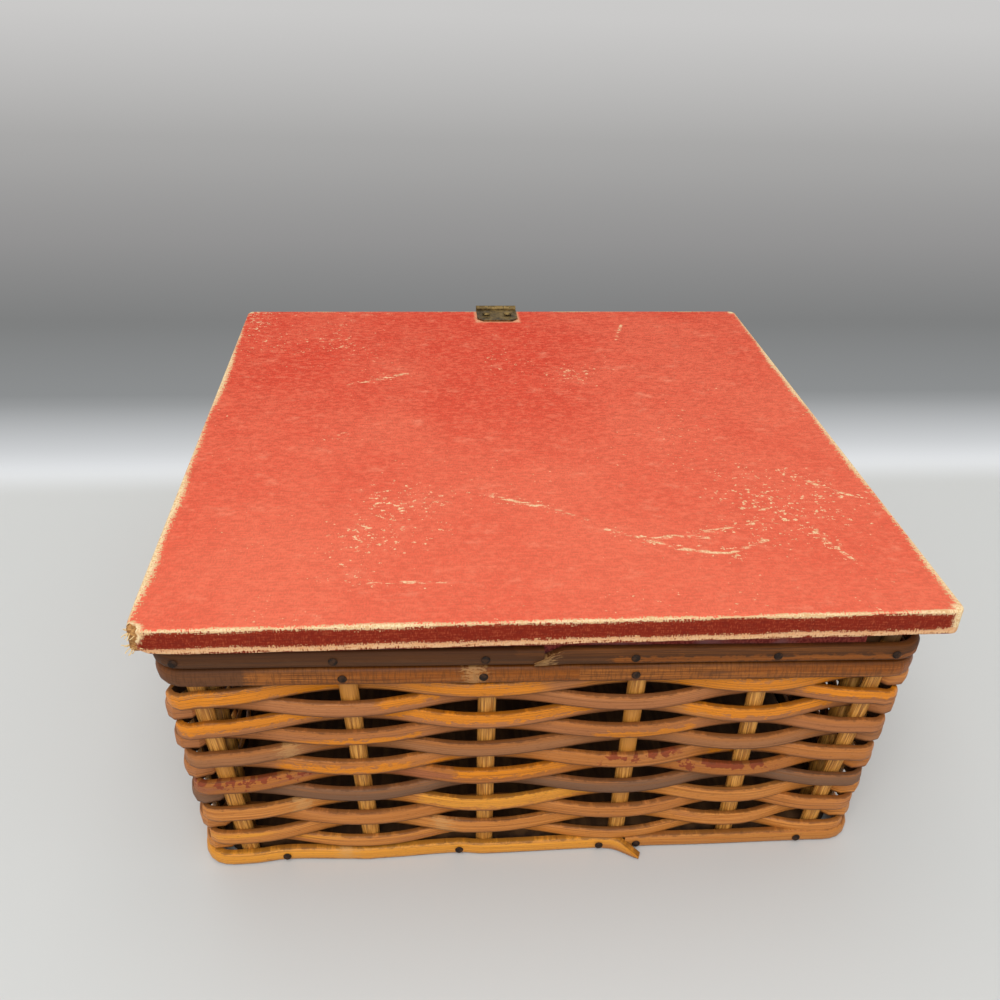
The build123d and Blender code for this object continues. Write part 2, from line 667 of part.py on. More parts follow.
def build_parts():
    """Every sub-part under its node name."""
    parts = {"base_board": base_board(), "corner_posts": corner_posts()}
    for side in SIDES:
        parts[f"rim_batten_{side}"] = batten(side)
        for i in range(STAKES_PER_SIDE):
            parts[f"stake_{side}_{i + 1}"] = stake(side, i)
    for row in range(ROWS):
        parts[f"weaver_{row + 1:02d}"] = weaver(row)
    parts["rim_strip_upper"] = rim_strip(UPPER_STRIP_FOOT, RIM_TOP, UPPER_JOINT)
    parts["rim_strip_lower"] = rim_strip(LOWER_STRIP_FOOT, LOWER_STRIP_TOP, LOWER_JOINT)
    parts["foot_reed"] = foot_reed()
    upper_middle = (UPPER_STRIP_FOOT + RIM_TOP) / 2
    lower_middle = (LOWER_STRIP_FOOT + LOWER_STRIP_TOP) / 2
    parts["rim_nails_upper"] = rim_nails(range(STAKES_PER_SIDE), upper_middle)
    parts["rim_nails_lower"] = rim_nails(range(1, STAKES_PER_SIDE - 2), lower_middle)
    parts["foot_nails"] = foot_nails()
    parts["lid_board"] = lid_board()
    parts["lid_cover"] = lid_cover()
    parts["lid_lining"] = lid_lining()
    parts["hinge_cloth"] = hinge_cloth()
    parts["hasp_leaf"] = hasp_leaf()
    parts["hasp_strap"] = hasp_strap()
    parts["hasp_pin"] = hasp_pin()
    parts["hasp_nails"] = hasp_nails()
    parts["keeper_plate"] = keeper_plate()
    parts["keeper_button"] = keeper_button()
    parts["keeper_nails"] = keeper_nails()
    return parts


os.makedirs("parts", exist_ok=True)
for name, shape in build_parts().items():
    export_step(shape, f"parts/{name}.step")
print(f"lid from z {LID_FOOT:.2f} to {LID_TOP:.2f}, y {LID_BACK:.2f} to {LID_FRONT:.2f}")
print(f"hasp pin at y {HASP_PIN_Y:.2f}, z {HASP_PIN_Z:.2f}, strap rests at {STRAP_REST:.1f} deg")
print(f"keeper at y {KEEPER_FACE:.2f}, z {KEEPER_Z:.2f}, its post stands out {BUTTON_STAND:.2f}")
print(f"the button turns about {keeper_plane().origin}, {keeper_plane().z_dir}")
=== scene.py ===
# %% [markdown]
# # A cane sewing box
#
# The box is a woven cane basket with a lid in red book cloth. Every structural piece
# comes from the CAD model, which holds its size and place. This lesson gives it its looks:
# domed split cane that bends over and under the stakes, worn cloth, aged brass and small
# domed nails. All lengths are in metres, so a millimetre is written as MM.

# %% Load the frame
import math
import random

import bmesh
import bpy
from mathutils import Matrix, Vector, noise


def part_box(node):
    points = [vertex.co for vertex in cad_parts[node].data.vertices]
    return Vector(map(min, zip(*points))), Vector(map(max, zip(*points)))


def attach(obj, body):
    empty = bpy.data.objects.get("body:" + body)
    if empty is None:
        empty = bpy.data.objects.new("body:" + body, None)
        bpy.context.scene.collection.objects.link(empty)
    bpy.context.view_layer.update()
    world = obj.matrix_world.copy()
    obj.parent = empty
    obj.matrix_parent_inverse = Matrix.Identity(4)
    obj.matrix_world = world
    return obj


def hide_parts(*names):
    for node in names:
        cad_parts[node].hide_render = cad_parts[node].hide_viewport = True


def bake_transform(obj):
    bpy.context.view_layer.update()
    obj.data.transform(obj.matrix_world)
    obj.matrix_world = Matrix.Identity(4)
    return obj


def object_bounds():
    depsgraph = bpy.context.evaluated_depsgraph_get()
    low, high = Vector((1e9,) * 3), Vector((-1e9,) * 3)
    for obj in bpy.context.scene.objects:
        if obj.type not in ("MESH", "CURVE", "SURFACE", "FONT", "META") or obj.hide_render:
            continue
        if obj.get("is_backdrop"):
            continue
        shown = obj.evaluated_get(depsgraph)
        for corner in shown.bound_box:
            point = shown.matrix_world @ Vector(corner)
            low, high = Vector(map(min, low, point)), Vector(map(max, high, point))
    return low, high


MM = 0.001
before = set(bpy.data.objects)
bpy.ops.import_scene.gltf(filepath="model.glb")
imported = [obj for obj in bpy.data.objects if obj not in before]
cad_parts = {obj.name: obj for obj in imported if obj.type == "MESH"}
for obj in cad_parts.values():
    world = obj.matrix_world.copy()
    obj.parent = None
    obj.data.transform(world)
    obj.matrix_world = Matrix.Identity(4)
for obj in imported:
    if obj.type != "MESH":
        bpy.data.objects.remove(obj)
cad_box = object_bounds()


def in_mm(lengths):
    return [round(length / MM, 1) for length in lengths]


print("CAD box in mm", [in_mm(corner) for corner in cad_box])

# %% [markdown]
# ## Camera
#
# A photograph fixes one viewpoint, and everything is judged from there first. The camera
# could be nudged by eye, but it is quicker to work its place out from the four corners of
# the lid, which is flat and square. It stands behind the box, looks down about 31 degrees
# and leans a little to one side, as a hand-held camera does.

# %% Camera
CAMERA_PLACE = (-38.96 * MM, -363.57 * MM, 291.64 * MM)
CAMERA_TURN = (59.06, -1.57, -4.33)  # degrees about X, Y and Z
CAMERA_LENS = 35.87
CAMERA_SENSOR = 36.0

bpy.ops.object.select_all(action="DESELECT")
bpy.ops.object.camera_add(location=CAMERA_PLACE, rotation=[math.radians(a) for a in CAMERA_TURN])
camera = bpy.context.object
camera.name = "camera"
camera.data.lens = CAMERA_LENS
camera.data.sensor_width = CAMERA_SENSOR
bpy.context.scene.camera = camera
print("the camera stands", round(Vector(CAMERA_PLACE).length, 2), "m from the middle of the foot")

# %% [markdown]
# ## Helpers for selecting and shaping
#
# In edit mode, what a person would click is chosen here by a test on its place. Selecting
# by index would be shorter, but an index says nothing about what was picked, and it
# changes as soon as an earlier step does. The other helpers are steps that every piece
# goes through: naming, a modifier that is applied at once, joining and smooth shading.

# %% Select by a test


def only(*pieces):
    """Select these objects and nothing else; the first one is the active one."""
    bpy.ops.object.select_all(action="DESELECT")
    for piece in pieces:
        piece.select_set(True)
    if pieces:
        bpy.context.view_layer.objects.active = pieces[0]


def select_edges(test):
    """Select the edges whose two end points pass a test, and nothing else."""
    bpy.ops.mesh.select_mode(type="EDGE")
    bpy.ops.mesh.select_all(action="DESELECT")
    data = bpy.context.object.data
    mesh = bmesh.from_edit_mesh(data)
    for edge in mesh.edges:
        if test(edge.verts[0].co, edge.verts[1].co):
            edge.select = True
    bmesh.update_edit_mesh(data)


def select_faces(test):
    """Select the faces whose middle and normal pass a test, and nothing else."""
    bpy.ops.mesh.select_mode(type="FACE")
    bpy.ops.mesh.select_all(action="DESELECT")
    data = bpy.context.object.data
    mesh = bmesh.from_edit_mesh(data)
    mesh.normal_update()
    for face in mesh.faces:
        if test(face.calc_center_median(), face.normal):
            face.select = True
    bmesh.update_edit_mesh(data)


# %% Name, modify, join and smooth


def named(name):
    """Name the object that an operator has just added, and its mesh; scale and turn are applied."""
    piece = bpy.context.object
    piece.name = name
    piece.data.name = name
    bpy.ops.object.transform_apply(location=True, rotation=True, scale=True)
    return piece


def copy_of(piece, name):
    """A copy with its own mesh."""
    copy = piece.copy()
    copy.data = piece.data.copy()
    copy.name = name
    copy.data.name = name
    bpy.context.scene.collection.objects.link(copy)
    return copy


def modify(piece, kind, **settings):
    """Add a modifier, set it and apply it."""
    only(piece)
    bpy.ops.object.modifier_add(type=kind)
    for key, value in settings.items():
        setattr(piece.modifiers[-1], key, value)
    bpy.ops.object.modifier_apply(modifier=piece.modifiers[-1].name)


def join(pieces, name):
    """Join pieces into one under a new name."""
    only(*pieces)
    bpy.ops.object.join()
    pieces[0].name = name
    pieces[0].data.name = name
    return pieces[0]


def smooth(piece, degrees):
    """Shade a piece smooth, apart from its edges that are sharper than an angle."""
    only(piece)
    bpy.ops.object.shade_smooth_by_angle(angle=math.radians(degrees))


def outward_normals():
    """In edit mode, turn all faces outwards."""
    bpy.ops.mesh.select_all(action="SELECT")
    bpy.ops.mesh.normals_make_consistent(inside=False)


# %% [markdown]
# ## Helpers for finishes
#
# A finish is a tree of nodes. Clicking it together takes one step for each node, and a
# script can do the same with one short call for each. Two small classes keep those calls
# readable: a Finish adds nodes, and what a node puts out is a Value, which can be added
# and multiplied like a number. A finish is mixed as paint is: it starts from a base, and
# each tint covers a share of it.

# %% Colours and values


def paint(red, green, blue):
    """Colour as a paint program shows it, from 0 to 255, in the linear form that Blender uses."""
    parts = []
    for value in (red, green, blue):
        share = value / 255
        parts.append(share / 12.92 if share <= 0.04045 else ((share + 0.055) / 1.055) ** 2.4)
    return (*parts, 1.0)


class Value:
    """What a node puts out. It can be added and multiplied like a number."""

    def __init__(self, finish, socket):
        self.finish = finish
        self.socket = socket

    def __add__(self, other):
        return self.finish.maths("ADD", self, other)

    def __sub__(self, other):
        return self.finish.maths("SUBTRACT", self, other)

    def __rsub__(self, other):
        return self.finish.maths("SUBTRACT", other, self)

    def __mul__(self, other):
        return self.finish.maths("MULTIPLY", self, other)

    def off(self, middle):
        """How far the value is from a middle one, either way."""
        return self.finish.maths("ABSOLUTE", self - middle)

    def clamped(self):
        """The value, kept between 0 and 1."""
        return self.finish.maths("ADD", self, 0.0, clamp=True)

    def step(self, low, high):
        """0 below low, 1 above high, smooth between; the other way round if low is above high."""
        sockets = {"Value": self, "From Min": low, "From Max": high}
        if low > high:
            sockets.update({"From Min": high, "From Max": low, "To Min": 1.0, "To Max": 0.0})
        return self.finish.value("MapRange", sockets, interpolation_type="SMOOTHSTEP")


def most(a, b):
    return a.finish.maths("MAXIMUM", a, b)


def least(a, b):
    return a.finish.maths("MINIMUM", a, b)


# %% A short way to write a finish


class Finish:
    """A material, with one short method for each kind of node that this scene uses."""

    def __init__(self, name, roughness=0.5, specular=0.5, metallic=0.0):
        self.material = bpy.data.materials.new(name)
        self.material.use_nodes = True
        self.tree = self.material.node_tree
        self.shader = self.tree.nodes["Principled BSDF"]
        self.shader.inputs["Roughness"].default_value = roughness
        self.shader.inputs["Specular IOR Level"].default_value = specular
        self.shader.inputs["Metallic"].default_value = metallic
        self.base = None

    def add(self, kind, sockets=None, **settings):
        """A new node, its inputs set to numbers or joined to values."""
        node = self.tree.nodes.new("ShaderNode" + kind)
        for key, setting in settings.items():
            setattr(node, key, setting)
        for key, given in (sockets or {}).items():
            given = getattr(given, "socket", given)
            if isinstance(given, bpy.types.NodeSocket):
                self.tree.links.new(given, node.inputs[key])
            else:
                node.inputs[key].default_value = given
        return node

    def value(self, kind, sockets=None, output=0, **settings):
        """What a new node puts out."""
        return Value(self, self.add(kind, sockets, **settings).outputs[output])

    def place(self):
        """Position on the piece, in metres."""
        return self.value("TexCoord", output="Object")

    def cane_map(self):
        """Position on a cane: metres along it, and 0 to 1 across its domed face."""
        return self.value("UVMap", output="UV", uv_map="cane")

    def axes(self, vector):
        """X, Y and Z of a position, each by itself."""
        return [Value(self, socket) for socket in self.add("SeparateXYZ", {0: vector}).outputs]

    def noise(self, vector, scale, shift=(0, 0, 0), detail=3.0, roughness=0.55):
        """Noise from 0 to 1; a scale of 1 / size on each axis gives patches of that size."""
        moved = self.value("Mapping", {"Vector": vector, "Scale": scale, "Location": shift})
        sockets = {"Vector": moved, "Scale": 1.0, "Detail": detail, "Roughness": roughness}
        return self.value("TexNoise", sockets)

    def distance(self, vector, point):
        return self.value("VectorMath", {0: vector, 1: point}, "Value", operation="DISTANCE")

    def maths(self, operation, a, b=0.0, clamp=False):
        return self.value("Math", {0: a, 1: b}, operation=operation, use_clamp=clamp)

    def mix(self, share, a, b):
        return self.value("Mix", {"Factor": share, 6: a, 7: b}, 2, data_type="RGBA")

    def tint(self, share, colour):
        """Cover a share of the base, from 0 to 1, with a colour."""
        self.base = self.mix(share, self.base, colour)

    def roughness(self, value):
        self.tree.links.new(value.socket, self.shader.inputs["Roughness"])

    def surface(self, height, depth, strength):
        """Give the shader the base as it is now, and a bump."""
        self.tree.links.new(self.base.socket, self.shader.inputs["Base Color"])
        bump = self.value("Bump", {"Height": height, "Distance": depth, "Strength": strength})
        self.tree.links.new(bump.socket, self.shader.inputs["Normal"])


# %% [markdown]
# ## Floor, backdrop and light
#
# The box stands on a pale table in front of a grey sweep. A sweep is a floor that curves
# up into a wall, so that no line shows where they meet. It could be a bent plane, but two
# extruded edges and a spin are quicker: the profile is drawn once and stretched sideways.
# Its greys are painted on as glowing light and shade, and only the camera and reflections
# see them, so they throw no light of their own on the box.

# %% Floor and backdrop
SWEEP_START = 0.9  # where the floor starts to rise
SWEEP_RADIUS = 0.5
SWEEP_TOP = 3.0
SWEEP_WIDTH = 6.0
FLOOR_FRONT = 2.25
FLOOR_GREY = paint(210, 211, 209)

only()
bpy.ops.mesh.primitive_plane_add(size=1.0, location=(0, 0, 0))
floor = named("floor")
for vertex in floor.data.vertices:
    vertex.co.x *= SWEEP_WIDTH
    vertex.co.y = SWEEP_START if vertex.co.y > 0 else -FLOOR_FRONT
bpy.ops.object.mode_set(mode="EDIT")
select_edges(lambda a, b: a.y > 0 and b.y > 0)
sweep_centre = (0, SWEEP_START, SWEEP_RADIUS)
bpy.ops.mesh.spin(steps=16, angle=math.radians(-90), center=sweep_centre, axis=(1, 0, 0))
bpy.ops.mesh.extrude_region_move(TRANSFORM_OT_translate={"value": (0, 0, SWEEP_TOP)})
bpy.ops.object.mode_set(mode="OBJECT")
print("the sweep rises to", round(max(v.co.z for v in floor.data.vertices), 2), "m")
bpy.ops.object.shade_smooth()
floor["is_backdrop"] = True

# %% Greys of the backdrop
GREYS_REACH = 4.0  # of floor and wall together
GREYS_START = (0.13, 0.17)  # they fade in behind the box, between these distances
# painted light and shade of the sweep, from its foot up: a pale band just behind the box, a dark band
# above it, and paler again higher up
PAINTED_LIGHT_GREYS = (
    (0.0, paint(199, 200, 197)),
    (0.15, paint(236, 238, 240)),
    (0.19, paint(202, 204, 206)),
    (0.26, paint(141, 143, 144)),
    (0.4, paint(126, 127, 127)),
    (0.62, paint(147, 146, 146)),
    (1.05, paint(170, 169, 168)),
    (1.4, paint(202, 201, 200)),
    (2.0, paint(214, 214, 213)),
)
backdrop = Finish("pale_table", roughness=0.55, specular=0.2)
backdrop.shader.inputs["Base Color"].default_value = FLOOR_GREY
_, back, up = backdrop.axes(backdrop.place())
away = back + up
ramp = backdrop.add("ValToRGB", {0: away * (1 / GREYS_REACH)})
while len(ramp.color_ramp.elements) < len(PAINTED_LIGHT_GREYS):
    ramp.color_ramp.elements.new(0.5)
for element, (place, grey) in zip(ramp.color_ramp.elements, PAINTED_LIGHT_GREYS):
    element.position = place / GREYS_REACH
    element.color = grey
# painted light: the greys are emitted, for the camera and for reflections only
painted_glow = backdrop.value("Emission", {"Color": ramp.outputs[0], "Strength": 1.0})
camera_ray = backdrop.value("LightPath", output="Is Camera Ray")
seen = (camera_ray + backdrop.value("LightPath", output="Is Glossy Ray")).clamped()
mixed = {0: seen * away.step(*GREYS_START), 1: backdrop.shader.outputs[0], 2: painted_glow}
both = backdrop.value("MixShader", mixed)
backdrop.tree.links.new(both.socket, backdrop.tree.nodes["Material Output"].inputs["Surface"])
floor.data.materials.append(backdrop.material)
print("the backdrop has", len(PAINTED_LIGHT_GREYS), "greys")

# %% [markdown]
# The light is soft and comes from above the camera, so the lid grows brighter towards its
# near edge, where its cloth is also painted paler, and the shadow on the table stays pale.
# Small lamps would give the cane hard glints, so two large square ones are used, and the
# world fills in the rest.

# %% Lights
WORLD_LIGHT = 0.6
LAMPS = (  # name, place, size and watts
    ("top_light", (-0.1, 0.35, 1.5), 1.1, 4.0),
    ("front_light", (-0.25, -1.25, 1.5), 1.3, 20.0),
)
LIT_POINT = Vector((0, 0, 0.05))

world = bpy.data.worlds.new("studio")
world.use_nodes = True
world.node_tree.nodes["Background"].inputs["Color"].default_value = (1.0, 1.0, 1.0, 1.0)
world.node_tree.nodes["Background"].inputs["Strength"].default_value = WORLD_LIGHT
bpy.context.scene.world = world
for name, place, size, watts in LAMPS:
    turn = (LIT_POINT - Vector(place)).to_track_quat("-Z", "Y").to_euler()
    only()
    bpy.ops.object.light_add(type="AREA", location=place, rotation=turn)
    lamp = bpy.context.object
    lamp.name = name
    lamp.data.size = size
    lamp.data.energy = watts
    print(name, "gives", watts, "watts")
bpy.context.scene.view_settings.view_transform = "Standard"

# %% [markdown]
# ## Where the stakes stand
#
# Everything woven follows the stakes, and their places are in the CAD model. Each stake
# leans out towards the rim, so two points describe it: the middle of its foot and the
# middle of its top. A point at any height lies on the line between them.

# %% Read the stakes
SIDES = ("back", "right", "front", "left")
NEXT = dict(zip(SIDES, SIDES[1:] + SIDES[:1]))
RUN = {"back": Vector((1, 0, 0)), "right": Vector((0, 1, 0))}
RUN.update({"front": -RUN["back"], "left": -RUN["right"]})
FACE = {"back": Vector((0, -1, 0)), "right": Vector((1, 0, 0))}
FACE.update({"front": -FACE["back"], "left": -FACE["right"]})
STAKES = 6
MIDDLE_STAKE = 2


def ends_of(node):
    """Middle of a CAD node's lowest ring of vertices, and of its highest ring."""
    low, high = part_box(node)
    rings = []
    for level in (low.z, high.z):
        ring = [v.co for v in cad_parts[node].data.vertices if abs(v.co.z - level) < 0.1 * MM]
        middle = [(min(c[i] for c in ring) + max(c[i] for c in ring)) / 2 for i in range(3)]
        rings.append(Vector(middle))
    return rings


stake_lines = {}
for side in SIDES:
    stake_lines[side] = [ends_of(f"stake_{side}_{i + 1}") for i in range(STAKES)]


def stake_at(side, index, z):
    """Middle of a stake at height z."""
    foot, top = stake_lines[side][index]
    return foot.lerp(top, (z - foot.z) / (top.z - foot.z))


def corner_at(side, z):
    """Where the middle of a side's wall meets that of the next side, at height z."""
    here = stake_at(side, MIDDLE_STAKE, z).dot(FACE[side])
    there = stake_at(NEXT[side], MIDDLE_STAKE, z).dot(FACE[NEXT[side]])
    return FACE[side] * here + FACE[NEXT[side]] * there + Vector((0, 0, z))


print("back stakes at the rim", in_mm(top.x for foot, top in stake_lines["back"]))

# %% [markdown]
# The weaver's hand shows at the back: the rows are highest a little left of the middle and
# droop towards both corners, and the rim strips run downhill to the right. A hand-made
# basket has that, and a drawing with level lines looks machine-made beside it. Both
# droops fade out along the sides, so that the front stays level.

# %% Droop of the rows and the rim strips
ROW_CREST = -50 * MM  # along the back, where the rows are highest
ROW_DROOP = 0.011  # fall of a row for each length away from there
RIM_LEVEL = -20 * MM  # along the back, where the rim strips have their true height
RIM_DROOP = 0.02
HALFWAY_UP = 50 * MM
back_y = stake_at("back", MIDDLE_STAKE, HALFWAY_UP).y
front_y = stake_at("front", MIDDLE_STAKE, HALFWAY_UP).y


def fade(place):
    """1 at the back wall, 0 at the front one."""
    return min(1.0, max(0.0, (front_y - place.y) / (front_y - back_y)))


def row_droop(place):
    return -ROW_DROOP * abs(place.x - ROW_CREST) * fade(place)


def rim_droop(place):
    return -RIM_DROOP * (place.x - RIM_LEVEL) * fade(place)


left_rise = rim_droop(Vector((cad_box[0][0], back_y, 0)))
print("a rim strip lies", in_mm([left_rise])[0], "mm higher at the left")

# %% [markdown]
# ## A length of split cane
#
# Weavers, rim strips and the reed round the foot are all split cane: flat on the inside,
# domed on the outside. Each one could be drawn as a curve with a bevel, but then its
# width, its joints and its UV map are hard to reach. So a straight length is modelled
# first, from half a cylinder whose crown is pressed flatter, and a Curve modifier bends it
# afterwards.

# %% Model a straight length of cane
CROWN = 2.7  # 2 would be a plain ellipse; more is a flatter crown with sharper shoulders
CANE_EDGE = 0.35 * MM  # bevel of the long edges on the inside
CANE_STEP = 2.5 * MM  # length of one ring of faces
HAIR = 1e-6  # places closer than this are the same


def cane_map_of(cane):
    """A new UV map called cane, in place of the ones that the primitive came with."""
    for layer in list(cane.data.uv_layers):
        cane.data.uv_layers.remove(layer)
    return cane.data.uv_layers.new(name="cane").data


def map_strip(cane, width):
    """Map metres along, and across from 0 to 1 on the domed face, from 2 to 3 on the flat one."""
    corners = cane_map_of(cane)
    for polygon in cane.data.polygons:
        inner = 2.0 if polygon.normal.y > 0.5 else 0.0
        for index in polygon.loop_indices:
            place = cane.data.vertices[cane.data.loops[index].vertex_index].co
            corners[index].uv = (place.x, place.z / width + 0.5 + inner)


def half_cylinder(name, length, width, dome):
    """Cylinder along X, flattened, cut in half along it, its crown pressed flatter."""
    only()
    bpy.ops.mesh.primitive_cylinder_add(
        vertices=20,
        radius=width / 2,
        depth=length,
        location=(length / 2, 0, 0),
        rotation=(0, math.radians(90), 0),
    )
    cane = named(name)
    bpy.ops.object.mode_set(mode="EDIT")
    bpy.ops.mesh.select_all(action="SELECT")
    bpy.ops.transform.resize(value=(1, 2 * dome / width, 1))
    bpy.ops.mesh.bisect(
        plane_co=(0, 0, 0), plane_no=(0, 1, 0), use_fill=True, clear_outer=True, threshold=1e-7
    )
    bpy.ops.object.mode_set(mode="OBJECT")
    for vertex in cane.data.vertices:
        if vertex.co.y < -1e-7:
            share = min(1.0, abs(vertex.co.z) / (width / 2))
            vertex.co.y = -dome * (1 - share**CROWN) ** (1 / CROWN)
    return cane


def straight_cane(name, length, width, thickness, dome, step=CANE_STEP):
    """Split cane along X from 0 to length, domed towards -Y, with a UV map called cane."""
    cane = half_cylinder(name, length, width, dome)
    flat = thickness - dome
    bpy.ops.object.mode_set(mode="EDIT")
    select_faces(lambda place, normal: abs(place.y) < HAIR)
    bpy.ops.mesh.extrude_region_move(TRANSFORM_OT_translate={"value": (0, flat, 0)})
    select_edges(lambda a, b: abs(a.x - b.x) > length / 2 and min(a.y, b.y) > flat - HAIR)
    bpy.ops.mesh.bevel(offset=min(CANE_EDGE, flat / 3), segments=2)
    cuts = max(2, round(math.sqrt(length / step)))
    for _ in range(2):  # cuts times cuts pieces, because one call divides into few
        select_edges(lambda a, b: abs(a.x - b.x) > 0.6 * step)
        bpy.ops.mesh.subdivide(number_cuts=cuts - 1)
    outward_normals()
    bpy.ops.object.mode_set(mode="OBJECT")
    map_strip(cane, width)
    for vertex in cane.data.vertices:
        vertex.co.y += thickness / 2 - flat
    return cane


# %% [markdown]
# No length of cane is quite even. Its width wavers, and it swells a little at its joints,
# the rings where leaves once grew. Noise that is read along the strip does the first, and
# a bell curve round each joint the second.

# %% Weather a length of cane
WIDTH_PATCH = 60 * MM
DOME_PATCH = 40 * MM
CROOK_PATCH = 30 * MM
JOINT_SWELL = 0.16
JOINT_REACH = 2.2 * MM


def weather_cane(cane, seed, joints=(), waver=0.05, crooked=0.25 * MM):
    """Uneven width and height along a strip, and a swelling at each of its joints."""
    for vertex in cane.data.vertices:
        x = vertex.co.x
        vertex.co.z *= 1 + waver * noise.noise(Vector((x / WIDTH_PATCH, seed, 0)))
        vertex.co.y *= 1 + 2 * waver * noise.noise(Vector((x / DOME_PATCH, seed, 5)))
        for joint in joints:
            swell = JOINT_SWELL * math.exp(-(((x - joint) / JOINT_REACH) ** 2))
            vertex.co.y *= 1 + swell
            vertex.co.z *= 1 + swell / 3
        vertex.co.z += crooked * noise.noise(Vector((x / CROOK_PATCH, seed, 9)))


# %% [markdown]
# A strip's way round the basket is an open Bezier curve. Its knots give the place, the
# heading and how far each handle reaches, so that a few of them bend as stiff cane does.
# Handles that Blender works out by itself would be simpler, but they swing wide at corners.

# %% Bend a length of cane along a path


def with_handles(places, share):
    """Knots from pairs of place and heading, each handle a share of the way to the next knot."""
    knots = []
    for i, (place, heading) in enumerate(places):
        back = (place - places[i - 1][0]).length * share if i else 1 * MM
        ahead = (places[i + 1][0] - place).length * share if i + 1 < len(places) else 1 * MM
        knots.append([place, heading, back, ahead, 0.0])
    return knots


def bent_path(name, knots):
    """Open Bezier curve through knots of (place, heading, reach back, reach ahead, tilt)."""
    curve = bpy.data.curves.new(name, "CURVE")
    curve.dimensions = "3D"
    curve.twist_mode = "Z_UP"
    curve.resolution_u = 16
    spline = curve.splines.new("BEZIER")
    spline.bezier_points.add(len(knots) - 1)
    for point, (place, heading, back, ahead, tilt) in zip(spline.bezier_points, knots):
        point.handle_left_type = "FREE"
        point.handle_right_type = "FREE"
        point.co = place
        point.handle_left = place - heading * back
        point.handle_right = place + heading * ahead
        point.tilt = tilt
    path = bpy.data.objects.new(name, curve)
    bpy.context.scene.collection.objects.link(path)
    return path, spline.calc_length()


def bend(cane, path):
    """Bend a straight cane along a path, and remove the path."""
    modify(cane, "CURVE", object=path, deform_axis="POS_X")
    curve = path.data
    bpy.data.objects.remove(path)
    bpy.data.curves.remove(curve)


def dress(piece, body, slot, finish, *nodes):
    """Give a finished piece its material and body, and let it stand for its CAD nodes."""
    piece.data.materials.clear()
    piece.data.materials.append(finish.material)
    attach(piece, body)
    if nodes:
        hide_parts(*nodes)


# %% [markdown]
# ## Cane finishes
#
# Old varnished cane has three layers to its colour: a tan ground with fine grain along the
# strip, a mauve bloom where the varnish has dulled, and a bright orange skin that is left
# in patches along one edge. Dirt lies in its cracks, and painted shade darkens its edges
# and its inner face. A picture of cane would be quicker, but it would repeat and it wouldn't
# follow each strip. The UV map runs along every strip, so the patterns do too.

# %% Patterns that the layers share
TAN = paint(220, 144, 68)
DEEP_TAN = paint(184, 110, 44)
ORANGE = paint(232, 138, 6)
GOLD = paint(238, 160, 50)
MAUVE = paint(188, 120, 72)
GREY_MAUVE = paint(126, 92, 68)
RUST = paint(138, 52, 26)
UMBER = paint(78, 44, 20)
# painted shade of the closed basket's inside, put on the canes' inner faces
INSIDE_SHADE = paint(72, 48, 30)
PALE_JOINT = paint(206, 158, 100)
SPAN_FADE = 1.5 * MM


class CaneFinish(Finish):
    """Finish of one strip of split cane."""

    def __init__(self, name, seed, shine):
        super().__init__(name, specular=shine)
        self.seed = seed
        self.map = self.cane_map()
        self.along, self.across, _ = self.axes(self.map)
        self.grain = self.noise(self.map, (26, 13, 1), (seed, seed, 0), 5.0, 0.7)
        self.flecks = self.noise(self.map, (500, 14, 1), (seed, 3, seed), 3.0, 0.7)
        self.uneven = self.noise(self.map, (230, 3.5, 1), (seed, 2, 2), 4.0, 0.75) - 0.5

    def span(self, start, end):
        """1 between two distances along the strip, with a ragged start and end."""
        along = self.along + self.uneven * (16 * MM)
        begun = along.step(start - SPAN_FADE, start + SPAN_FADE)
        return begun * along.step(end + SPAN_FADE, end - SPAN_FADE)

    def with_spans(self, share, spans):
        """A share that is raised to 1 over some stretches of the strip."""
        for start, end in spans:
            share = most(share, self.span(start, end))
        return share


# %% Layers of cane


def lay_bloom(cane, bloom, cover, dull):
    """Dulled varnish, mostly on the lower half of the strip; gives back where it lies."""
    cloud = cane.noise(cane.map, (22, 1.2, 1), (3 * cane.seed, 0, 7))
    cloudy = cloud.step(0.70 - 0.45 * cover, 0.82 - 0.45 * cover)
    cloudy = cloudy * (cane.across.step(0.95, 0.35) + 0.35).clamped()
    cloudy = cane.with_spans(cloudy, dull)
    streaky = cane.mix(cane.grain.step(0.3, 0.7), cane.mix(0.28, bloom, UMBER), bloom)
    cane.tint(cloudy * 0.85, streaky)
    return cloudy


def lay_skin(cane, skin, cover, band, skins):
    """Glossy skin in a band of the strip's width; gives back where it lies."""
    patch = cane.noise(cane.map, (11, 0.5, 1), (5 * cane.seed, 3, 1), 2.0)
    held = patch.step(0.7 - 0.45 * cover, 0.78 - 0.45 * cover)
    height = cane.across + cane.uneven * 1.7
    above = height.step(band[0] - 0.05, band[0] + 0.07)
    below = height.step(band[1] + 0.06, band[1] - 0.06)
    glossy = above * below * cane.with_spans(held, skins)
    streaked = cane.mix(cane.grain.step(0.34, 0.6), cane.mix(0.5, skin, DEEP_TAN), skin)
    cane.tint(glossy * 0.9, streaked)
    return glossy


def lay_spots(cane, spots):
    """Rust-red drops, more of them near the top edge."""
    for start, end in spots:
        drops = cane.noise(cane.map, (240, 1.5, 1), (cane.seed, 8, 4), 3.0, 0.65)
        drops = (drops + cane.across.step(0.35, 0.85) * 0.14).step(0.60, 0.63)
        cane.tint(drops * cane.span(start, end) * 0.85, RUST)


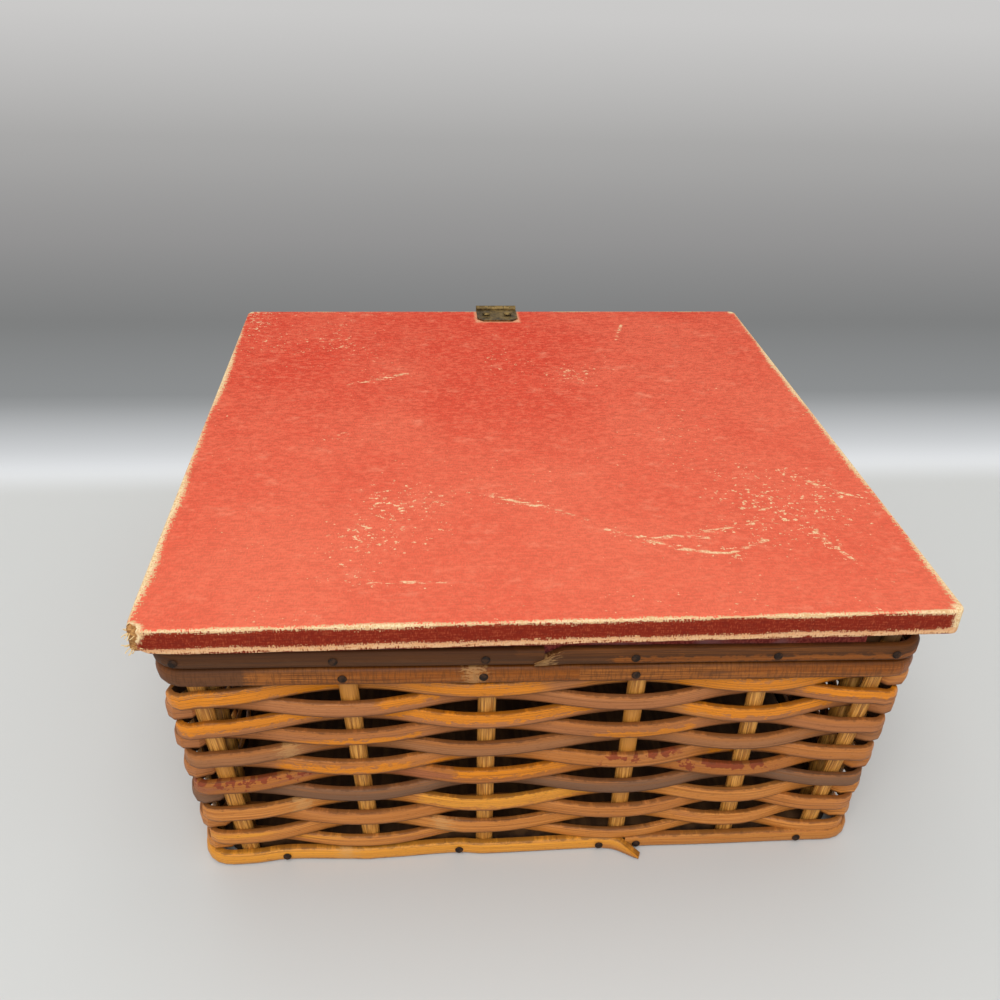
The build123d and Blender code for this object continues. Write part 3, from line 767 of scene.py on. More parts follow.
def lay_dirt_and_shade(cane, ticks, shade_band):
    """Dark cracks, flecks and cross ticks, and painted shade along the edges; gives back where the
    cracks are.
    """
    cracks = cane.noise(cane.map, (14, 34, 1), (cane.seed, 0, cane.seed), 3.0, 0.6)
    cane.tint(cracks.step(0.49, 0.33), cane.mix(0.55, cane.base, UMBER))
    cane.tint(cane.flecks.step(0.42, 0.28) * 0.5, UMBER)
    if ticks > 0:
        cross = cane.noise(cane.map, (1500, 1.2, 1), (cane.seed, 5, 1), 2.0, 0.6)
        cane.tint(cross.step(0.52, 0.40) * ticks, UMBER)
    # painted shade along the lower edge of each strip
    cane.tint(cane.across.step(0.26, 0.04) * 0.75, UMBER)
    # painted shade in a band across the width, where shade_band puts it
    cane.tint((cane.across + cane.uneven * 0.5).step(*shade_band) * 0.6, UMBER)
    return cracks


def lay_joints(cane, joints):
    """A pale, mottled ring at each joint."""
    for joint in joints:
        ragged = cane.along.off(joint) + (cane.flecks - 0.5) * (20 * MM)
        cane.tint(ragged.step(4.0 * MM, 1.0 * MM) * 0.45, PALE_JOINT)


# %% Finish for split cane


def cane_finish(name, seed, ground=TAN, skin=ORANGE, bloom=MAUVE, skin_cover=0.3, bloom_cover=0.5,
                skin_band=(0.5, 1.3), skins=(), spots=(), dull=(), joints=(), ticks=0.0, shine=0.28,
                shade_band=(0.88, 1.0)):
    """Split cane, layer by layer.

    The covers are the shares of the strip that its skin and its bloom take, and skin_band
    is the part of its width where the skin is left. Skins, spots and dull are stretches
    along the strip, from one distance to another, and joints are single distances. Across
    its width, painted shade starts at the first number of shade_band and is full at the second.
    """
    cane = CaneFinish(name, seed, shine)
    cane.base = cane.mix(cane.grain.step(0.36, 0.64), DEEP_TAN, ground)
    cloudy = lay_bloom(cane, bloom, bloom_cover, dull)
    glossy = lay_skin(cane, skin, skin_cover, skin_band, skins)
    lay_spots(cane, spots)
    cracks = lay_dirt_and_shade(cane, ticks, shade_band)
    lay_joints(cane, joints)
    # painted shade on the flat inner face
    cane.tint(cane.across.step(1.4, 1.6), INSIDE_SHADE)
    cane.roughness(cloudy * 0.14 - glossy * 0.1 + 0.46)
    cane.surface(cane.grain + cracks * 0.8, 0.18 * MM, 0.7)
    return cane


def along_at(cane, x):
    """Distance along a bent strip to the point of the back wall with this x, in mm."""
    corners = cane.data.uv_layers["cane"].data
    best = None
    for loop in cane.data.loops:
        place = cane.data.vertices[loop.vertex_index].co
        if place.y < back_y / 2 and corners[loop.index].uv.y < 1.5:
            miss = abs(place.x - x * MM)
            if best is None or miss < best[0]:
                best = (miss, corners[loop.index].uv.x)
    return best[1]


def stretches(cane, pairs):
    """Stretches of the back wall, from one x to another in mm, as distances along a strip."""
    return [tuple(along_at(cane, x) for x in pair) for pair in pairs]


# %% [markdown]
# ## Woven rows
#
# Each row goes outside one stake and inside the next, and the row above does the reverse.
# The path needs one knot at each stake and three at each corner, where stiff cane bulges
# out instead of turning sharply: most on the side where the row comes from outside, least
# where it dives inside. Knots could also be placed densely with a formula, but few knots
# bend as real cane does.

# %% Row path
ROWS = 12
RIM_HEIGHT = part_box("rim_strip_upper")[1].z
ROW_WIDTH = 6.05 * MM
ROW_THICKNESS = 2.1 * MM
ROW_DOME = 0.95 * MM
ROW_SAG = 0.4 * MM
ROW_TILT = 3  # degrees either way
ROW_TUCK = 0.4 * MM  # its two ends stay this far apart from their stake's middle
STAKE_HALF = 2.0 * MM
SWING = STAKE_HALF + ROW_THICKNESS / 2 + 0.1 * MM
CORNER_RADIUS = 4.0 * MM  # of the wall's own bend round a corner
CORNER_OUT = (2.6 * MM, 4.6 * MM)  # a row bulges this far outside it at the foot and at the rim
CORNER_ANGLES = (20, 45, 70)
CORNER_SHARES = (1.0, 0.85, 0.3)  # of that bulge, from the side where the row is outside
ROW_HANDLE = 0.4  # of the distance to the next knot


def corner_places(side, z, over):
    """Three places round the corner after a side, with their headings."""
    after = NEXT[side]
    height = z + row_droop(corner_at(side, z))
    centre = corner_at(side, height) - (FACE[side] + FACE[after]) * CORNER_RADIUS
    bulge = CORNER_OUT[0] + (CORNER_OUT[1] - CORNER_OUT[0]) * z / RIM_HEIGHT
    places = []
    for angle, share in zip(CORNER_ANGLES, CORNER_SHARES if over > 0 else CORNER_SHARES[::-1]):
        ahead, aside = math.sin(math.radians(angle)), math.cos(math.radians(angle))
        outward = FACE[side] * aside + FACE[after] * ahead
        heading = RUN[side] * aside + RUN[after] * ahead
        places.append((centre + outward * (CORNER_RADIUS + bulge * share), heading))
    return places


def row_knots(z, starts_outside, start_stake, seed):
    """Knots round the basket at height z, from a stake where the row is inside."""
    draw = random.Random(seed)
    places = []
    starts = []
    count = 0
    for side in SIDES:
        for i in range(STAKES):
            over = 1 if (count + starts_outside) % 2 else -1
            height = z + row_droop(stake_at(side, i, z)) + draw.uniform(-ROW_SAG, ROW_SAG)
            if over < 0 and count >= start_stake:
                starts.append(len(places))
            places.append((stake_at(side, i, height) + FACE[side] * SWING * over, RUN[side]))
            count += 1
        places += corner_places(side, z, over)
    first = starts[0]
    knots = with_handles(places[first:] + places[:first] + [places[first]], ROW_HANDLE)
    for knot in knots:
        knot[4] = math.radians(draw.uniform(-ROW_TILT, ROW_TILT))
    knots[0][0] = knots[0][0] + knots[0][1] * ROW_TUCK
    knots[-1][0] = knots[-1][0] - knots[-1][1] * ROW_TUCK
    return knots


# %% [markdown]
# The rows aren't evenly spaced: they have slipped a little from where they would lie if
# they shared the wall's height out. ROW_SLIP says by how much, from the lowest row to the
# highest. The colours run from mauve and orange near the rim to a clean tan near the foot.

# %% Looks of the twelve rows
ROW_SLIP = (0.3, 0.2, 0.0, -0.7, -0.3, -0.4, -0.6, -0.2, 0.1, 0.2, 0.2, 0.2)  # in mm
ROW_NARROW = (0.76, 0.96, 1.0, 1.0, 0.97, 1.0, 1.0, 1.0, 1.0, 1.0, 0.98, 1.0)
ROW_LOOKS = (
    dict(skin_cover=0.2, bloom_cover=0.3, skin=GOLD),
    dict(skin_cover=0.2, bloom_cover=0.3, skin=GOLD),
    dict(ground=paint(206, 132, 66), skin_cover=0.1, bloom_cover=0.4, skin=GOLD),
    dict(skin_cover=0.2, bloom_cover=0.15, skin=GOLD, skin_band=(0.3, 1.3)),
    dict(ground=GREY_MAUVE, bloom=GREY_MAUVE, skin_cover=0.0, bloom_cover=1.4),
    dict(ground=DEEP_TAN, skin_cover=0.1, bloom_cover=0.5, bloom=paint(176, 104, 66)),
    dict(ground=paint(196, 124, 62), skin_cover=0.2, bloom_cover=0.5, skin_band=(0.15, 0.62)),
    dict(ground=DEEP_TAN, skin_cover=0.0, bloom_cover=1.0, bloom=paint(172, 116, 74)),
    dict(ground=DEEP_TAN, skin_cover=0.2, bloom_cover=0.9, skin_band=(0.1, 0.5)),
    dict(skin_cover=0.3, bloom_cover=0.9, skin_band=(0.45, 1.3)),
    dict(ground=paint(200, 132, 80), skin_cover=0.1, bloom_cover=1.0),
    dict(skin_cover=0.3, bloom_cover=0.6, skin_band=(0.15, 0.85)),
)
# Along the back in mm, by row from 0: kept skin, red spots and a pale joint
ROW_SKINS = {
    3: ((-40, 18),),
    5: ((-30, 10),),
    6: ((-86, -44), (60, 72)),
    8: ((-72, -40), (18, 50)),
    9: ((-118, -68), (-54, 18), (46, 98)),
    10: ((-52, -34), (86, 118)),
    11: ((-118, -64), (42, 106)),
}
ROW_SPOTS = {5: ((-118, -74), (44, 82)), 6: ((20, 48),)}
ROW_JOINTS = {1: (-32,), 3: (-82,), 7: (-84,)}
print("rows with kept skin:", len(ROW_SKINS))

# %% Twelve rows
for row in range(ROWS):
    node = f"weaver_{row + 1:02d}"
    low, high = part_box(node)
    z = (low.z + high.z) / 2 + ROW_SLIP[row] * MM
    knots = row_knots(z, (ROWS - row) % 2, 5 * row % (4 * STAKES), seed=row)
    path, length = bent_path("row_path", knots)
    draw = random.Random(100 + row)
    swellings = [0.15 + 0.3 * i + draw.uniform(-0.08, 0.08) for i in range(3)]
    width = ROW_WIDTH * ROW_NARROW[row]
    cane = straight_cane(f"cane_row_{row + 1:02d}", length, width, ROW_THICKNESS, ROW_DOME)
    weather_cane(cane, row, swellings)
    bend(cane, path)
    smooth(cane, 40)
    finish = cane_finish(
        f"row_{row + 1:02d}_cane",
        seed=row + 1.5,
        skins=stretches(cane, ROW_SKINS.get(row, ())),
        spots=stretches(cane, ROW_SPOTS.get(row, ())),
        joints=[along_at(cane, x) for x in ROW_JOINTS.get(row, ())],
        **ROW_LOOKS[row],
    )
    dress(cane, "basket", "weaver_cane", finish, node)
    if row in (0, ROWS - 1):
        print(cane.name, "is", round(length / MM), "mm long,", len(cane.data.polygons), "faces")

# %% [markdown]
# ## Stakes and corner posts
#
# The stakes are whole canes, pressed to a flat oval. A cylinder, squeezed in one
# direction, has the right section. It is modelled once, upright, and each copy is carried
# to its own line between foot and top. Their finish is more fibrous than the rows', and
# dark where the light doesn't reach: inside, and behind the rim strips.

# %% Model an upright cane


def upright_cane(name, width, thickness, rings=24):
    """Cane from z 0 to 1 with its UV map; x is along the wall and y is inwards."""
    only()
    bpy.ops.mesh.primitive_cylinder_add(vertices=20, radius=0.5, depth=1.0, location=(0, 0, 0.5))
    cane = named(name)
    bpy.ops.object.mode_set(mode="EDIT")
    select_edges(lambda a, b: abs(a.z - b.z) > 0.5)
    bpy.ops.mesh.subdivide(number_cuts=rings - 1)
    bpy.ops.object.mode_set(mode="OBJECT")
    corners = cane_map_of(cane)
    for polygon in cane.data.polygons:
        places = [cane.data.vertices[index].co for index in polygon.vertices]
        angles = [math.atan2(place.y, place.x) / (2 * math.pi) for place in places]
        for loop, place, angle in zip(polygon.loop_indices, places, angles):
            wrapped = angle + 1 if angle < max(angles) - 0.5 else angle
            corners[loop].uv = (place.z * 0.1, wrapped)
    for vertex in cane.data.vertices:
        vertex.co.x *= width
        vertex.co.y *= thickness
    return cane


def stand(cane, foot, top, run, seed):
    """Carry an upright cane to the line between two points, a little uneven on the way."""
    inwards = Vector((-run.y, run.x, 0))
    for vertex in cane.data.vertices:
        x, y, share = vertex.co
        swell = 1 + 0.05 * noise.noise(Vector((share * 3, seed, 0)))
        vertex.co = foot.lerp(top, share) + run * x * swell + inwards * y
    cane.data.update()


# %% Finish for the stakes
stake_finish = Finish("stake_cane", specular=0.45)
along_stake = stake_finish.cane_map()
streaks = stake_finish.noise(along_stake, (60, 26, 1), detail=5.0, roughness=0.65)
fine = stake_finish.noise(along_stake, (40, 70, 1), (4, 4, 4), roughness=0.6)
patches = stake_finish.noise(stake_finish.place(), (45, 45, 30), detail=2.0)
_, round_stake, _ = stake_finish.axes(along_stake)
_, _, height = stake_finish.axes(stake_finish.place())
behind_rim = height.step(RIM_HEIGHT - 5 * MM, RIM_HEIGHT - 3 * MM)
stake_finish.base = stake_finish.mix(streaks.step(0.38, 0.62), paint(164, 102, 32), paint(226, 160, 74))
stake_finish.tint(fine.step(0.46, 0.34), paint(92, 56, 24))
stake_finish.tint(patches.step(0.55, 0.75), paint(196, 128, 46))
# painted shade on the stakes' inner side, and behind the rim strips
stake_finish.tint(round_stake.off(0.25).step(0.22, 0.14), INSIDE_SHADE)
stake_finish.tint(behind_rim * 0.85, paint(58, 38, 24))
stake_finish.surface(streaks + fine, 0.2 * MM, 0.7)
print("the stakes' finish has", len(stake_finish.tree.nodes), "nodes")

# %% Stakes
STAKE_WIDTH = 6.0 * MM
pattern = upright_cane("pattern_stake", STAKE_WIDTH, 2 * STAKE_HALF)
for s, side in enumerate(SIDES):
    for i, (foot, top) in enumerate(stake_lines[side]):
        stake = copy_of(pattern, f"cane_stake_{side}_{i + 1}")
        stand(stake, foot, top, RUN[side], 10 * s + i)
        for loop in stake.data.uv_layers["cane"].data:
            loop.uv.x += 0.37 * i + 1.9 * s  # so that no two stakes have the same streaks
        smooth(stake, 40)
        dress(stake, "basket", "stake_cane", stake_finish, f"stake_{side}_{i + 1}")
bpy.data.objects.remove(pattern)
print("stakes:", len(SIDES) * STAKES, "of", round(STAKE_WIDTH / MM, 1), "mm")

# %% Corner posts
POST_WIDTH = 8.0 * MM
post_low, post_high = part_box("corner_posts")
posts = []
for x_sign in (-1, 1):
    for y_sign in (-1, 1):
        near_foot = []
        near_top = []
        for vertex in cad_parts["corner_posts"].data.vertices:
            if vertex.co.x * x_sign > 0 and vertex.co.y * y_sign > 0:
                low_half = vertex.co.z < (post_low.z + post_high.z) / 2
                (near_foot if low_half else near_top).append(vertex.co)
        foot, top = (sum(ring, Vector()) / len(ring) for ring in (near_foot, near_top))
        foot.z = post_low.z
        top.z = post_high.z
        posts.append(upright_cane("corner_post", POST_WIDTH, POST_WIDTH, rings=12))
        stand(posts[-1], foot, top, RUN["back"], x_sign + 3 * y_sign)
corner_posts = join(posts, "round_corner_posts")
smooth(corner_posts, 40)
dress(corner_posts, "basket", "post_cane", stake_finish, "corner_posts")
print("corner posts:", len(posts))

# %% [markdown]
# ## Strips round the rim and the foot
#
# Two stout strips bind the rim, and a third lies round the foot. They follow rounded
# rectangles: straight along each wall and a quarter circle at each corner. A quarter
# circle needs a handle of 0.5523 of its radius. The upper strip starts in a point that
# stands off the wall a little, like a splinter, over the end of its last round.

# %% Way round the rim
QUARTER = 0.5523
SPLINTER = 9 * MM  # length of the upper strip's pointed start
SPLINTER_LAP = 3 * MM
SPLINTER_TIP = 1.2 * MM
SPLINTER_OUT = 0.9 * MM


def ring_knots(low, high, z, radius, joint):
    """Knots round a rounded rectangle, from the joint on the back to the same place again."""
    corners = (
        (high.x - radius, low.y + radius, "back"),
        (high.x - radius, high.y - radius, "right"),
        (low.x + radius, high.y - radius, "front"),
        (low.x + radius, low.y + radius, "left"),
    )
    places = [(Vector((joint, low.y, z)), RUN["back"])]
    for x, y, side in corners:
        for face in (side, NEXT[side]):
            places.append((Vector((x, y, z)) + FACE[face] * radius, RUN[face]))
    places.append(places[0])
    knots = with_handles(places, 1 / 3)
    for i in range(1, len(knots) - 1):
        knots[i][3 if i % 2 else 2] = QUARTER * radius
    knots[0][2] = knots[-1][3] = 0
    return knots


def splinter(knots):
    """Start a strip's way a little early and off the wall, and join it after a short stretch."""
    reach = SPLINTER + SPLINTER_LAP
    flush = knots[0][0] + RUN["back"] * SPLINTER
    knots.insert(1, [flush, RUN["back"], reach / 3, knots[0][3], 0.0])
    knots[0][0] = flush - RUN["back"] * reach + FACE["back"] * SPLINTER_OUT
    knots[0][3] = reach / 3


# %% Looks of the rim strips
RIM_THICKNESS = 3.0 * MM
RIM_DOME = 1.7 * MM
RIM_RADIUS = 8.5 * MM
RIM_LEAN = 0.15 * MM  # the strips lie this far inside their CAD box
# Both strips' browns are partly painted shade, the upper one most. Each strip's shade_band paints shade
# across its top: under the lid on the upper strip, and under the upper strip on the lower one.
RIM_LOOKS = {
    "rim_strip_upper": dict(ground=paint(88, 52, 28), bloom=paint(70, 48, 34), skin=paint(134, 72, 22),
                            skin_cover=0.25, bloom_cover=1.0, skin_band=(0.12, 0.55), shine=0.15,
                            shade_band=(0.38, 0.62)),
    "rim_strip_lower": dict(ground=paint(112, 60, 18), bloom=paint(96, 62, 40), skin=paint(140, 72, 8),
                            skin_cover=0.6, bloom_cover=0.2, skin_band=(0.25, 1.3), ticks=0.4, shine=0.2,
                            shade_band=(0.6, 1.0)),
}
RIM_SKINS = {"rim_strip_upper": ((20, 120),), "rim_strip_lower": ((-90, 118),)}
RIM_DULL = {"rim_strip_upper": ((-120, -10),), "rim_strip_lower": ((-122, -91),)}
RIM_JOINTS = {"rim_strip_upper": -2 * MM, "rim_strip_lower": 9.5 * MM}
RIM_SWELLINGS = {"rim_strip_upper": (0.19, 0.42, 0.71), "rim_strip_lower": (0.25, 0.53, 0.937)}
PALE_MARK = -22  # of the lower strip, along the back, in mm
print("rim strips:", ", ".join(RIM_LOOKS))

# %% Rim strips
for node in RIM_LOOKS:
    low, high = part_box(node)
    z = (low.z + high.z) / 2
    height = high.z - low.z
    inset = Vector((1, 1, 0)) * (RIM_THICKNESS / 2 + RIM_LEAN)
    knots = ring_knots(low + inset, high - inset, z, RIM_RADIUS, RIM_JOINTS[node])
    pointed = node == "rim_strip_upper"
    if pointed:
        splinter(knots)
    path, length = bent_path("rim_path", knots)
    cane = straight_cane("cane_" + node, length, height, RIM_THICKNESS, RIM_DOME, step=3 * MM)
    weather_cane(cane, 40 + z / MM, RIM_SWELLINGS[node], waver=0.03, crooked=0.2 * MM)
    if pointed:
        for vertex in cane.data.vertices:
            top = SPLINTER_TIP + (height - SPLINTER_TIP) * vertex.co.x / SPLINTER
            vertex.co.z = min(vertex.co.z, top - height / 2)
    bend(cane, path)
    for vertex in cane.data.vertices:
        vertex.co.z += rim_droop(vertex.co)
    smooth(cane, 40)
    finish = cane_finish(
        node + "_cane",
        seed=z / MM,
        skins=stretches(cane, RIM_SKINS[node]),
        dull=stretches(cane, RIM_DULL[node]),
        joints=[SPLINTER * 0.3 if pointed else along_at(cane, PALE_MARK)],
        **RIM_LOOKS[node],
    )
    dress(cane, "basket", "rim_cane", finish, node)
    print(cane.name, "is", round(length / MM), "mm long")

# %% [markdown]
# ## Reed round the foot
#
# The reed goes over every stake and is nailed to the board between them, so it waves in
# and out. Its loose end has sprung away from the wall at the back, and it is cut at a
# slant. The knots come from the stakes and the nails, and the same loop notes where the
# nails go.

# %% Way of the foot reed
REED_HEIGHT = 5.4 * MM
REED_THICKNESS = 3.0 * MM
REED_OUT = STAKE_HALF + REED_THICKNESS / 2
REED_RADIUS = 8.0 * MM
REED_HANDLE = 0.36
JOINT_STAKE = 3  # at the back, where the reed begins and ends
REED_START = 2.8 * MM  # past that stake
REED_TURN = 4.4 * MM  # before that stake, where its last stretch leaves the wall
REED_TIP = 7.3 * MM  # past that stake
REED_TIP_IN = 0.4 * MM  # from the outside of its CAD box
BACK_NAILS = (0.3, 0.77, 0.86, 0.17, 0.83)  # shares of the way from one stake to the next
NAIL_PULL = 1.3 * MM
NAIL_ROOM = 5.1 * MM  # nearer to a stake than this, a nail can't pull the reed in
reed_low, reed_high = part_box("foot_reed")
reed_z = reed_low.z + REED_HEIGHT / 2
reed_places = []
foot_nail_places = []
for side in SIDES:
    for i in range(STAKES):
        over_stake = stake_at(side, i, reed_z)
        if side == "back" and i == JOINT_STAKE:
            first = len(reed_places)
        reed_places.append((over_stake + FACE[side] * REED_OUT, RUN[side]))
        if i < STAKES - 1:
            share = BACK_NAILS[i] if side == "back" else 0.5
            nailed = over_stake.lerp(stake_at(side, i + 1, reed_z), share)
            room = min(share, 1 - share) * (stake_at(side, i + 1, reed_z) - over_stake).length
            out = REED_OUT - min(NAIL_PULL, 0.25 * max(0.0, room - NAIL_ROOM))
            reed_places.append((nailed + FACE[side] * out, RUN[side]))
            foot_nail_places.append((side, nailed + FACE[side] * (out + REED_THICKNESS / 2)))
    diagonal = FACE[side] + FACE[NEXT[side]]
    corner = corner_at(side, reed_z) + diagonal * (REED_OUT - REED_RADIUS)
    corner += diagonal.normalized() * REED_RADIUS
    reed_places.append((corner, (RUN[side] + RUN[NEXT[side]]).normalized()))
reed_places = reed_places[first:] + reed_places[:first]
start, heading = reed_places[0]
reed_places[0] = (start + heading * REED_START, heading)
leaving = start - heading * REED_TURN
tip = Vector((start.x + REED_TIP, reed_low.y + REED_THICKNESS / 2 + REED_TIP_IN, reed_z))
reed_places += [(leaving, heading), (tip, (tip - leaving).normalized())]
print("the reed's way has", len(reed_places), "knots, and", len(foot_nail_places), "nails hold it")

# %% Foot reed
REED_DOME = 1.8 * MM
REED_POINT = 8 * MM  # length of the slanting cut at its sprung end
REED_SKIN = (-116, 22)  # along the back, in mm
REED_JOINT = -66
REED_SWELLINGS = (0.34, 0.61)  # from its start, in metres
LAST_SWELLING = 98 * MM  # from its end
path, length = bent_path("reed_path", with_handles(reed_places, REED_HANDLE))
reed = straight_cane("cane_foot_reed", length, REED_HEIGHT, REED_THICKNESS, REED_DOME)
weather_cane(reed, 77, (length - LAST_SWELLING, *REED_SWELLINGS), waver=0.03, crooked=0.0)
for vertex in reed.data.vertices:
    past = max(0.0, vertex.co.x - (length - REED_POINT)) / REED_POINT
    vertex.co.z = min(vertex.co.z, REED_HEIGHT * (0.5 - 0.75 * past))
bend(reed, path)
smooth(reed, 40)
for vertex in reed.data.vertices:
    vertex.co.z = max(vertex.co.z, 0.0)
reed_finish = cane_finish(
    "reed_cane",
    seed=21.0,
    ground=paint(206, 136, 60),
    skin=GOLD,
    skin_cover=0.3,
    bloom_cover=0.25,
    skin_band=(0.12, 1.3),
    skins=stretches(reed, (REED_SKIN,)),
    joints=[along_at(reed, REED_JOINT)],
)
dress(reed, "basket", "reed_cane", reed_finish, "foot_reed")
print("foot reed is", round(length / MM), "mm long")

# %% [markdown]
# ## Nails
#
# Small domed heads hold the strips. One head is modelled from a squashed sphere, with the
# lower half cut away, and it is copied to every place where the CAD model has a nail.

# %% Model a nail head


def domed_head(radius, height):
    """A nail's head, its flat side at z 0 and its dome up."""
    only()
    bpy.ops.mesh.primitive_uv_sphere_add(segments=16, ring_count=10, radius=radius)
    head = bpy.context.object
    bpy.ops.object.mode_set(mode="EDIT")
    bpy.ops.mesh.select_all(action="SELECT")
    bpy.ops.mesh.bisect(
        plane_co=(0, 0, 0), plane_no=(0, 0, -1), use_fill=True, clear_outer=True, threshold=1e-7
    )
    bpy.ops.mesh.select_all(action="SELECT")
    bpy.ops.transform.resize(value=(1, 1, height / radius))
    bpy.ops.object.mode_set(mode="OBJECT")
    return head


def nail_group(node, places, radius, height, slot, finish, body):
    """One head at each (point, outward direction), joined under one name."""
    head = domed_head(radius, height)
    heads = []
    for point, outward in places:
        copy = copy_of(head, "head")
        copy.data.transform(Vector((0, 0, 1)).rotation_difference(outward).to_matrix().to_4x4())
        for vertex in copy.data.vertices:
            vertex.co += point
        heads.append(copy)
    bpy.data.objects.remove(head)
    group = join(heads, "heads_" + node)
    smooth(group, 50)
    dress(group, body, slot, finish, node)
    print(group.name, "has", len(places), "heads")


# %% Nails of the rim and the foot
NAIL_RADIUS = 1.45 * MM
NAIL_HEIGHT = 0.7 * MM
NAIL_SUNK = 0.35 * MM
FOOT_NAIL_SUNK = 0.1 * MM
# The back's nails don't all sit on the middle of their stakes; by how much they miss, in mm
NAIL_SLIP = {
    "rim_nails_upper": (-2.8, -2.8, -1.1, -3.0, 1.6, 0.0),
    "rim_nails_lower": (0.0, -0.8, -1.6, -2.2, 0.0, 0.0),
}
iron = Finish("old_iron", roughness=0.75, specular=0.12)
rust = iron.noise(iron.place(), (700, 700, 700))
iron.base = iron.mix(rust.step(0.4, 0.65), paint(40, 31, 26), paint(68, 46, 32))
iron.surface(rust, 0.1 * MM, 0.6)
for node, chosen in (("rim_nails_upper", range(STAKES)), ("rim_nails_lower", (1, 2, 3))):
    low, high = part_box(node.replace("nails", "strip"))
    z = (low.z + high.z) / 2
    places = []
    for side in SIDES:
        outer = max(low.dot(FACE[side]), high.dot(FACE[side]))
        for i in chosen:
            point = stake_at(side, i, z)
            point += FACE[side] * (outer - point.dot(FACE[side]) - NAIL_SUNK)
            point.z += rim_droop(point)
            if side == "back":
                point.x += NAIL_SLIP[node][i] * MM
            places.append((point, FACE[side]))
    nail_group(node, places, NAIL_RADIUS, NAIL_HEIGHT, "iron", iron, "basket")
places = [(point - FACE[side] * FOOT_NAIL_SUNK, FACE[side]) for side, point in foot_nail_places]
nail_group("foot_nails", places, NAIL_RADIUS, NAIL_HEIGHT, "iron", iron, "basket")

# %% [markdown]
# ## Lid
#
# The lid is a board in book cloth, folded round its edges and glued underneath. The cover
# is a thin shell: a box with rounded corners and softened arrises, open underneath where
# the lining lies. Round its lower edge the cloth has come loose and hangs a little below
# the board, as a lip. A box of eight corners can't sag, so the shell is first cut across
# both ways: at the lip's inner edge, at the turned-in hem and about every centimetre
# between.

# %% Lid cover
cover_low, cover_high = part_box("lid_cover")
cover_middle = (cover_low + cover_high) / 2
cover_size = cover_high - cover_low
CLOTH = 0.55 * MM
TURN_IN = 16.0 * MM  # width of the hem glued under the board
CORNER = 3.2 * MM
ARRIS = 0.8 * MM
LIP = 1.2 * MM  # how far the loose cloth hangs below the board
LIP_WIDTH = 2.6 * MM
KNOCK_CUT = 6 * MM  # one more cut, so that a corner can bend
BETWEEN = 22  # stretches between the two hems

only()
bpy.ops.mesh.primitive_cube_add(size=1.0, location=cover_middle)
bpy.context.object.scale = cover_size
cover = named("cloth_lid_cover")
bpy.ops.object.mode_set(mode="EDIT")
select_edges(lambda a, b: abs(a.z - b.z) > cover_size.z / 2)
bpy.ops.mesh.bevel(offset=CORNER, segments=6)
select_edges(lambda a, b: abs(a.z - b.z) < HAIR)
bpy.ops.mesh.bevel(offset=ARRIS, segments=3)
for normal, length in (((1, 0, 0), cover_size.x), ((0, 1, 0), cover_size.y)):
    near = [ARRIS + LIP_WIDTH, KNOCK_CUT, TURN_IN]
    cuts = near + [length - cut for cut in reversed(near)]
    cuts += [TURN_IN + (length - 2 * TURN_IN) * i / BETWEEN for i in range(1, BETWEEN)]
    for cut in cuts:
        bpy.ops.mesh.select_all(action="SELECT")
        bpy.ops.mesh.bisect(plane_co=cover_low + Vector(normal) * cut, plane_no=normal)
select_faces(
    lambda place, normal: normal.z < -0.99
    and abs(place.x - cover_middle.x) < cover_size.x / 2 - TURN_IN
    and abs(place.y - cover_middle.y) < cover_size.y / 2 - TURN_IN
)
bpy.ops.mesh.delete(type="FACE")
bpy.ops.object.mode_set(mode="OBJECT")
print("the cover's shell has", len(cover.data.polygons), "faces")

# %% [markdown]
# The near left corner has been knocked: it is pushed in, and its foot is pushed up. The
# whole cloth is a little uneven. Sculpting by hand would do, but a push that fades with
# the distance from the corner can be repeated and measured.

# %% Sag of the cloth and the knocked corner
KNOCK_REACH = 9 * MM
KNOCK_UP = 3.2 * MM  # of the corner's foot
KNOCK_DOWN = 0.4 * MM  # of its top
KNOCK_X = 0.6 * MM
KNOCK_FOOT_X = 1.0 * MM  # more, at the foot
KNOCK_Y = 0.8 * MM
PUCKER_SIZE = 17 * MM
TOP_UNEVEN = 0.12 * MM
knocked = Vector((cover_low.x, cover_low.y, 0))
for vertex in cover.data.vertices:
    place = vertex.co.copy()
    inside = min(
        place.x - cover_low.x, cover_high.x - place.x, place.y - cover_low.y, cover_high.y - place.y
    )
    uneven = noise.noise(place / PUCKER_SIZE)
    hang = min(1.0, max(0.0, (ARRIS + LIP_WIDTH - inside) / LIP_WIDTH))
    if place.z < cover_low.z + ARRIS + 1e-5:
        vertex.co.z -= LIP * hang * (1 + 0.25 * uneven)
    elif place.z > cover_high.z - 1e-5:
        vertex.co.z += TOP_UNEVEN * uneven
    reach = (Vector((place.x, place.y, 0)) - knocked).length
    knock = max(0.0, 1 - reach / KNOCK_REACH) ** 1.5
    height = (place.z - cover_low.z) / cover_size.z
    vertex.co.z += knock * (KNOCK_UP * (1 - height) - KNOCK_DOWN * height)
    vertex.co.x += knock * (KNOCK_X + KNOCK_FOOT_X * (1 - height))
    vertex.co.y += knock * KNOCK_Y
modify(cover, "SOLIDIFY", thickness=CLOTH, offset=-1)
print("the cover is", in_mm(cover.dimensions), "mm")

# %% [markdown]
# The hole in the corner is a boolean cut with a lumpy ball. A boolean is right for a
# ragged opening, because it leaves a closed edge as thick as the cloth.

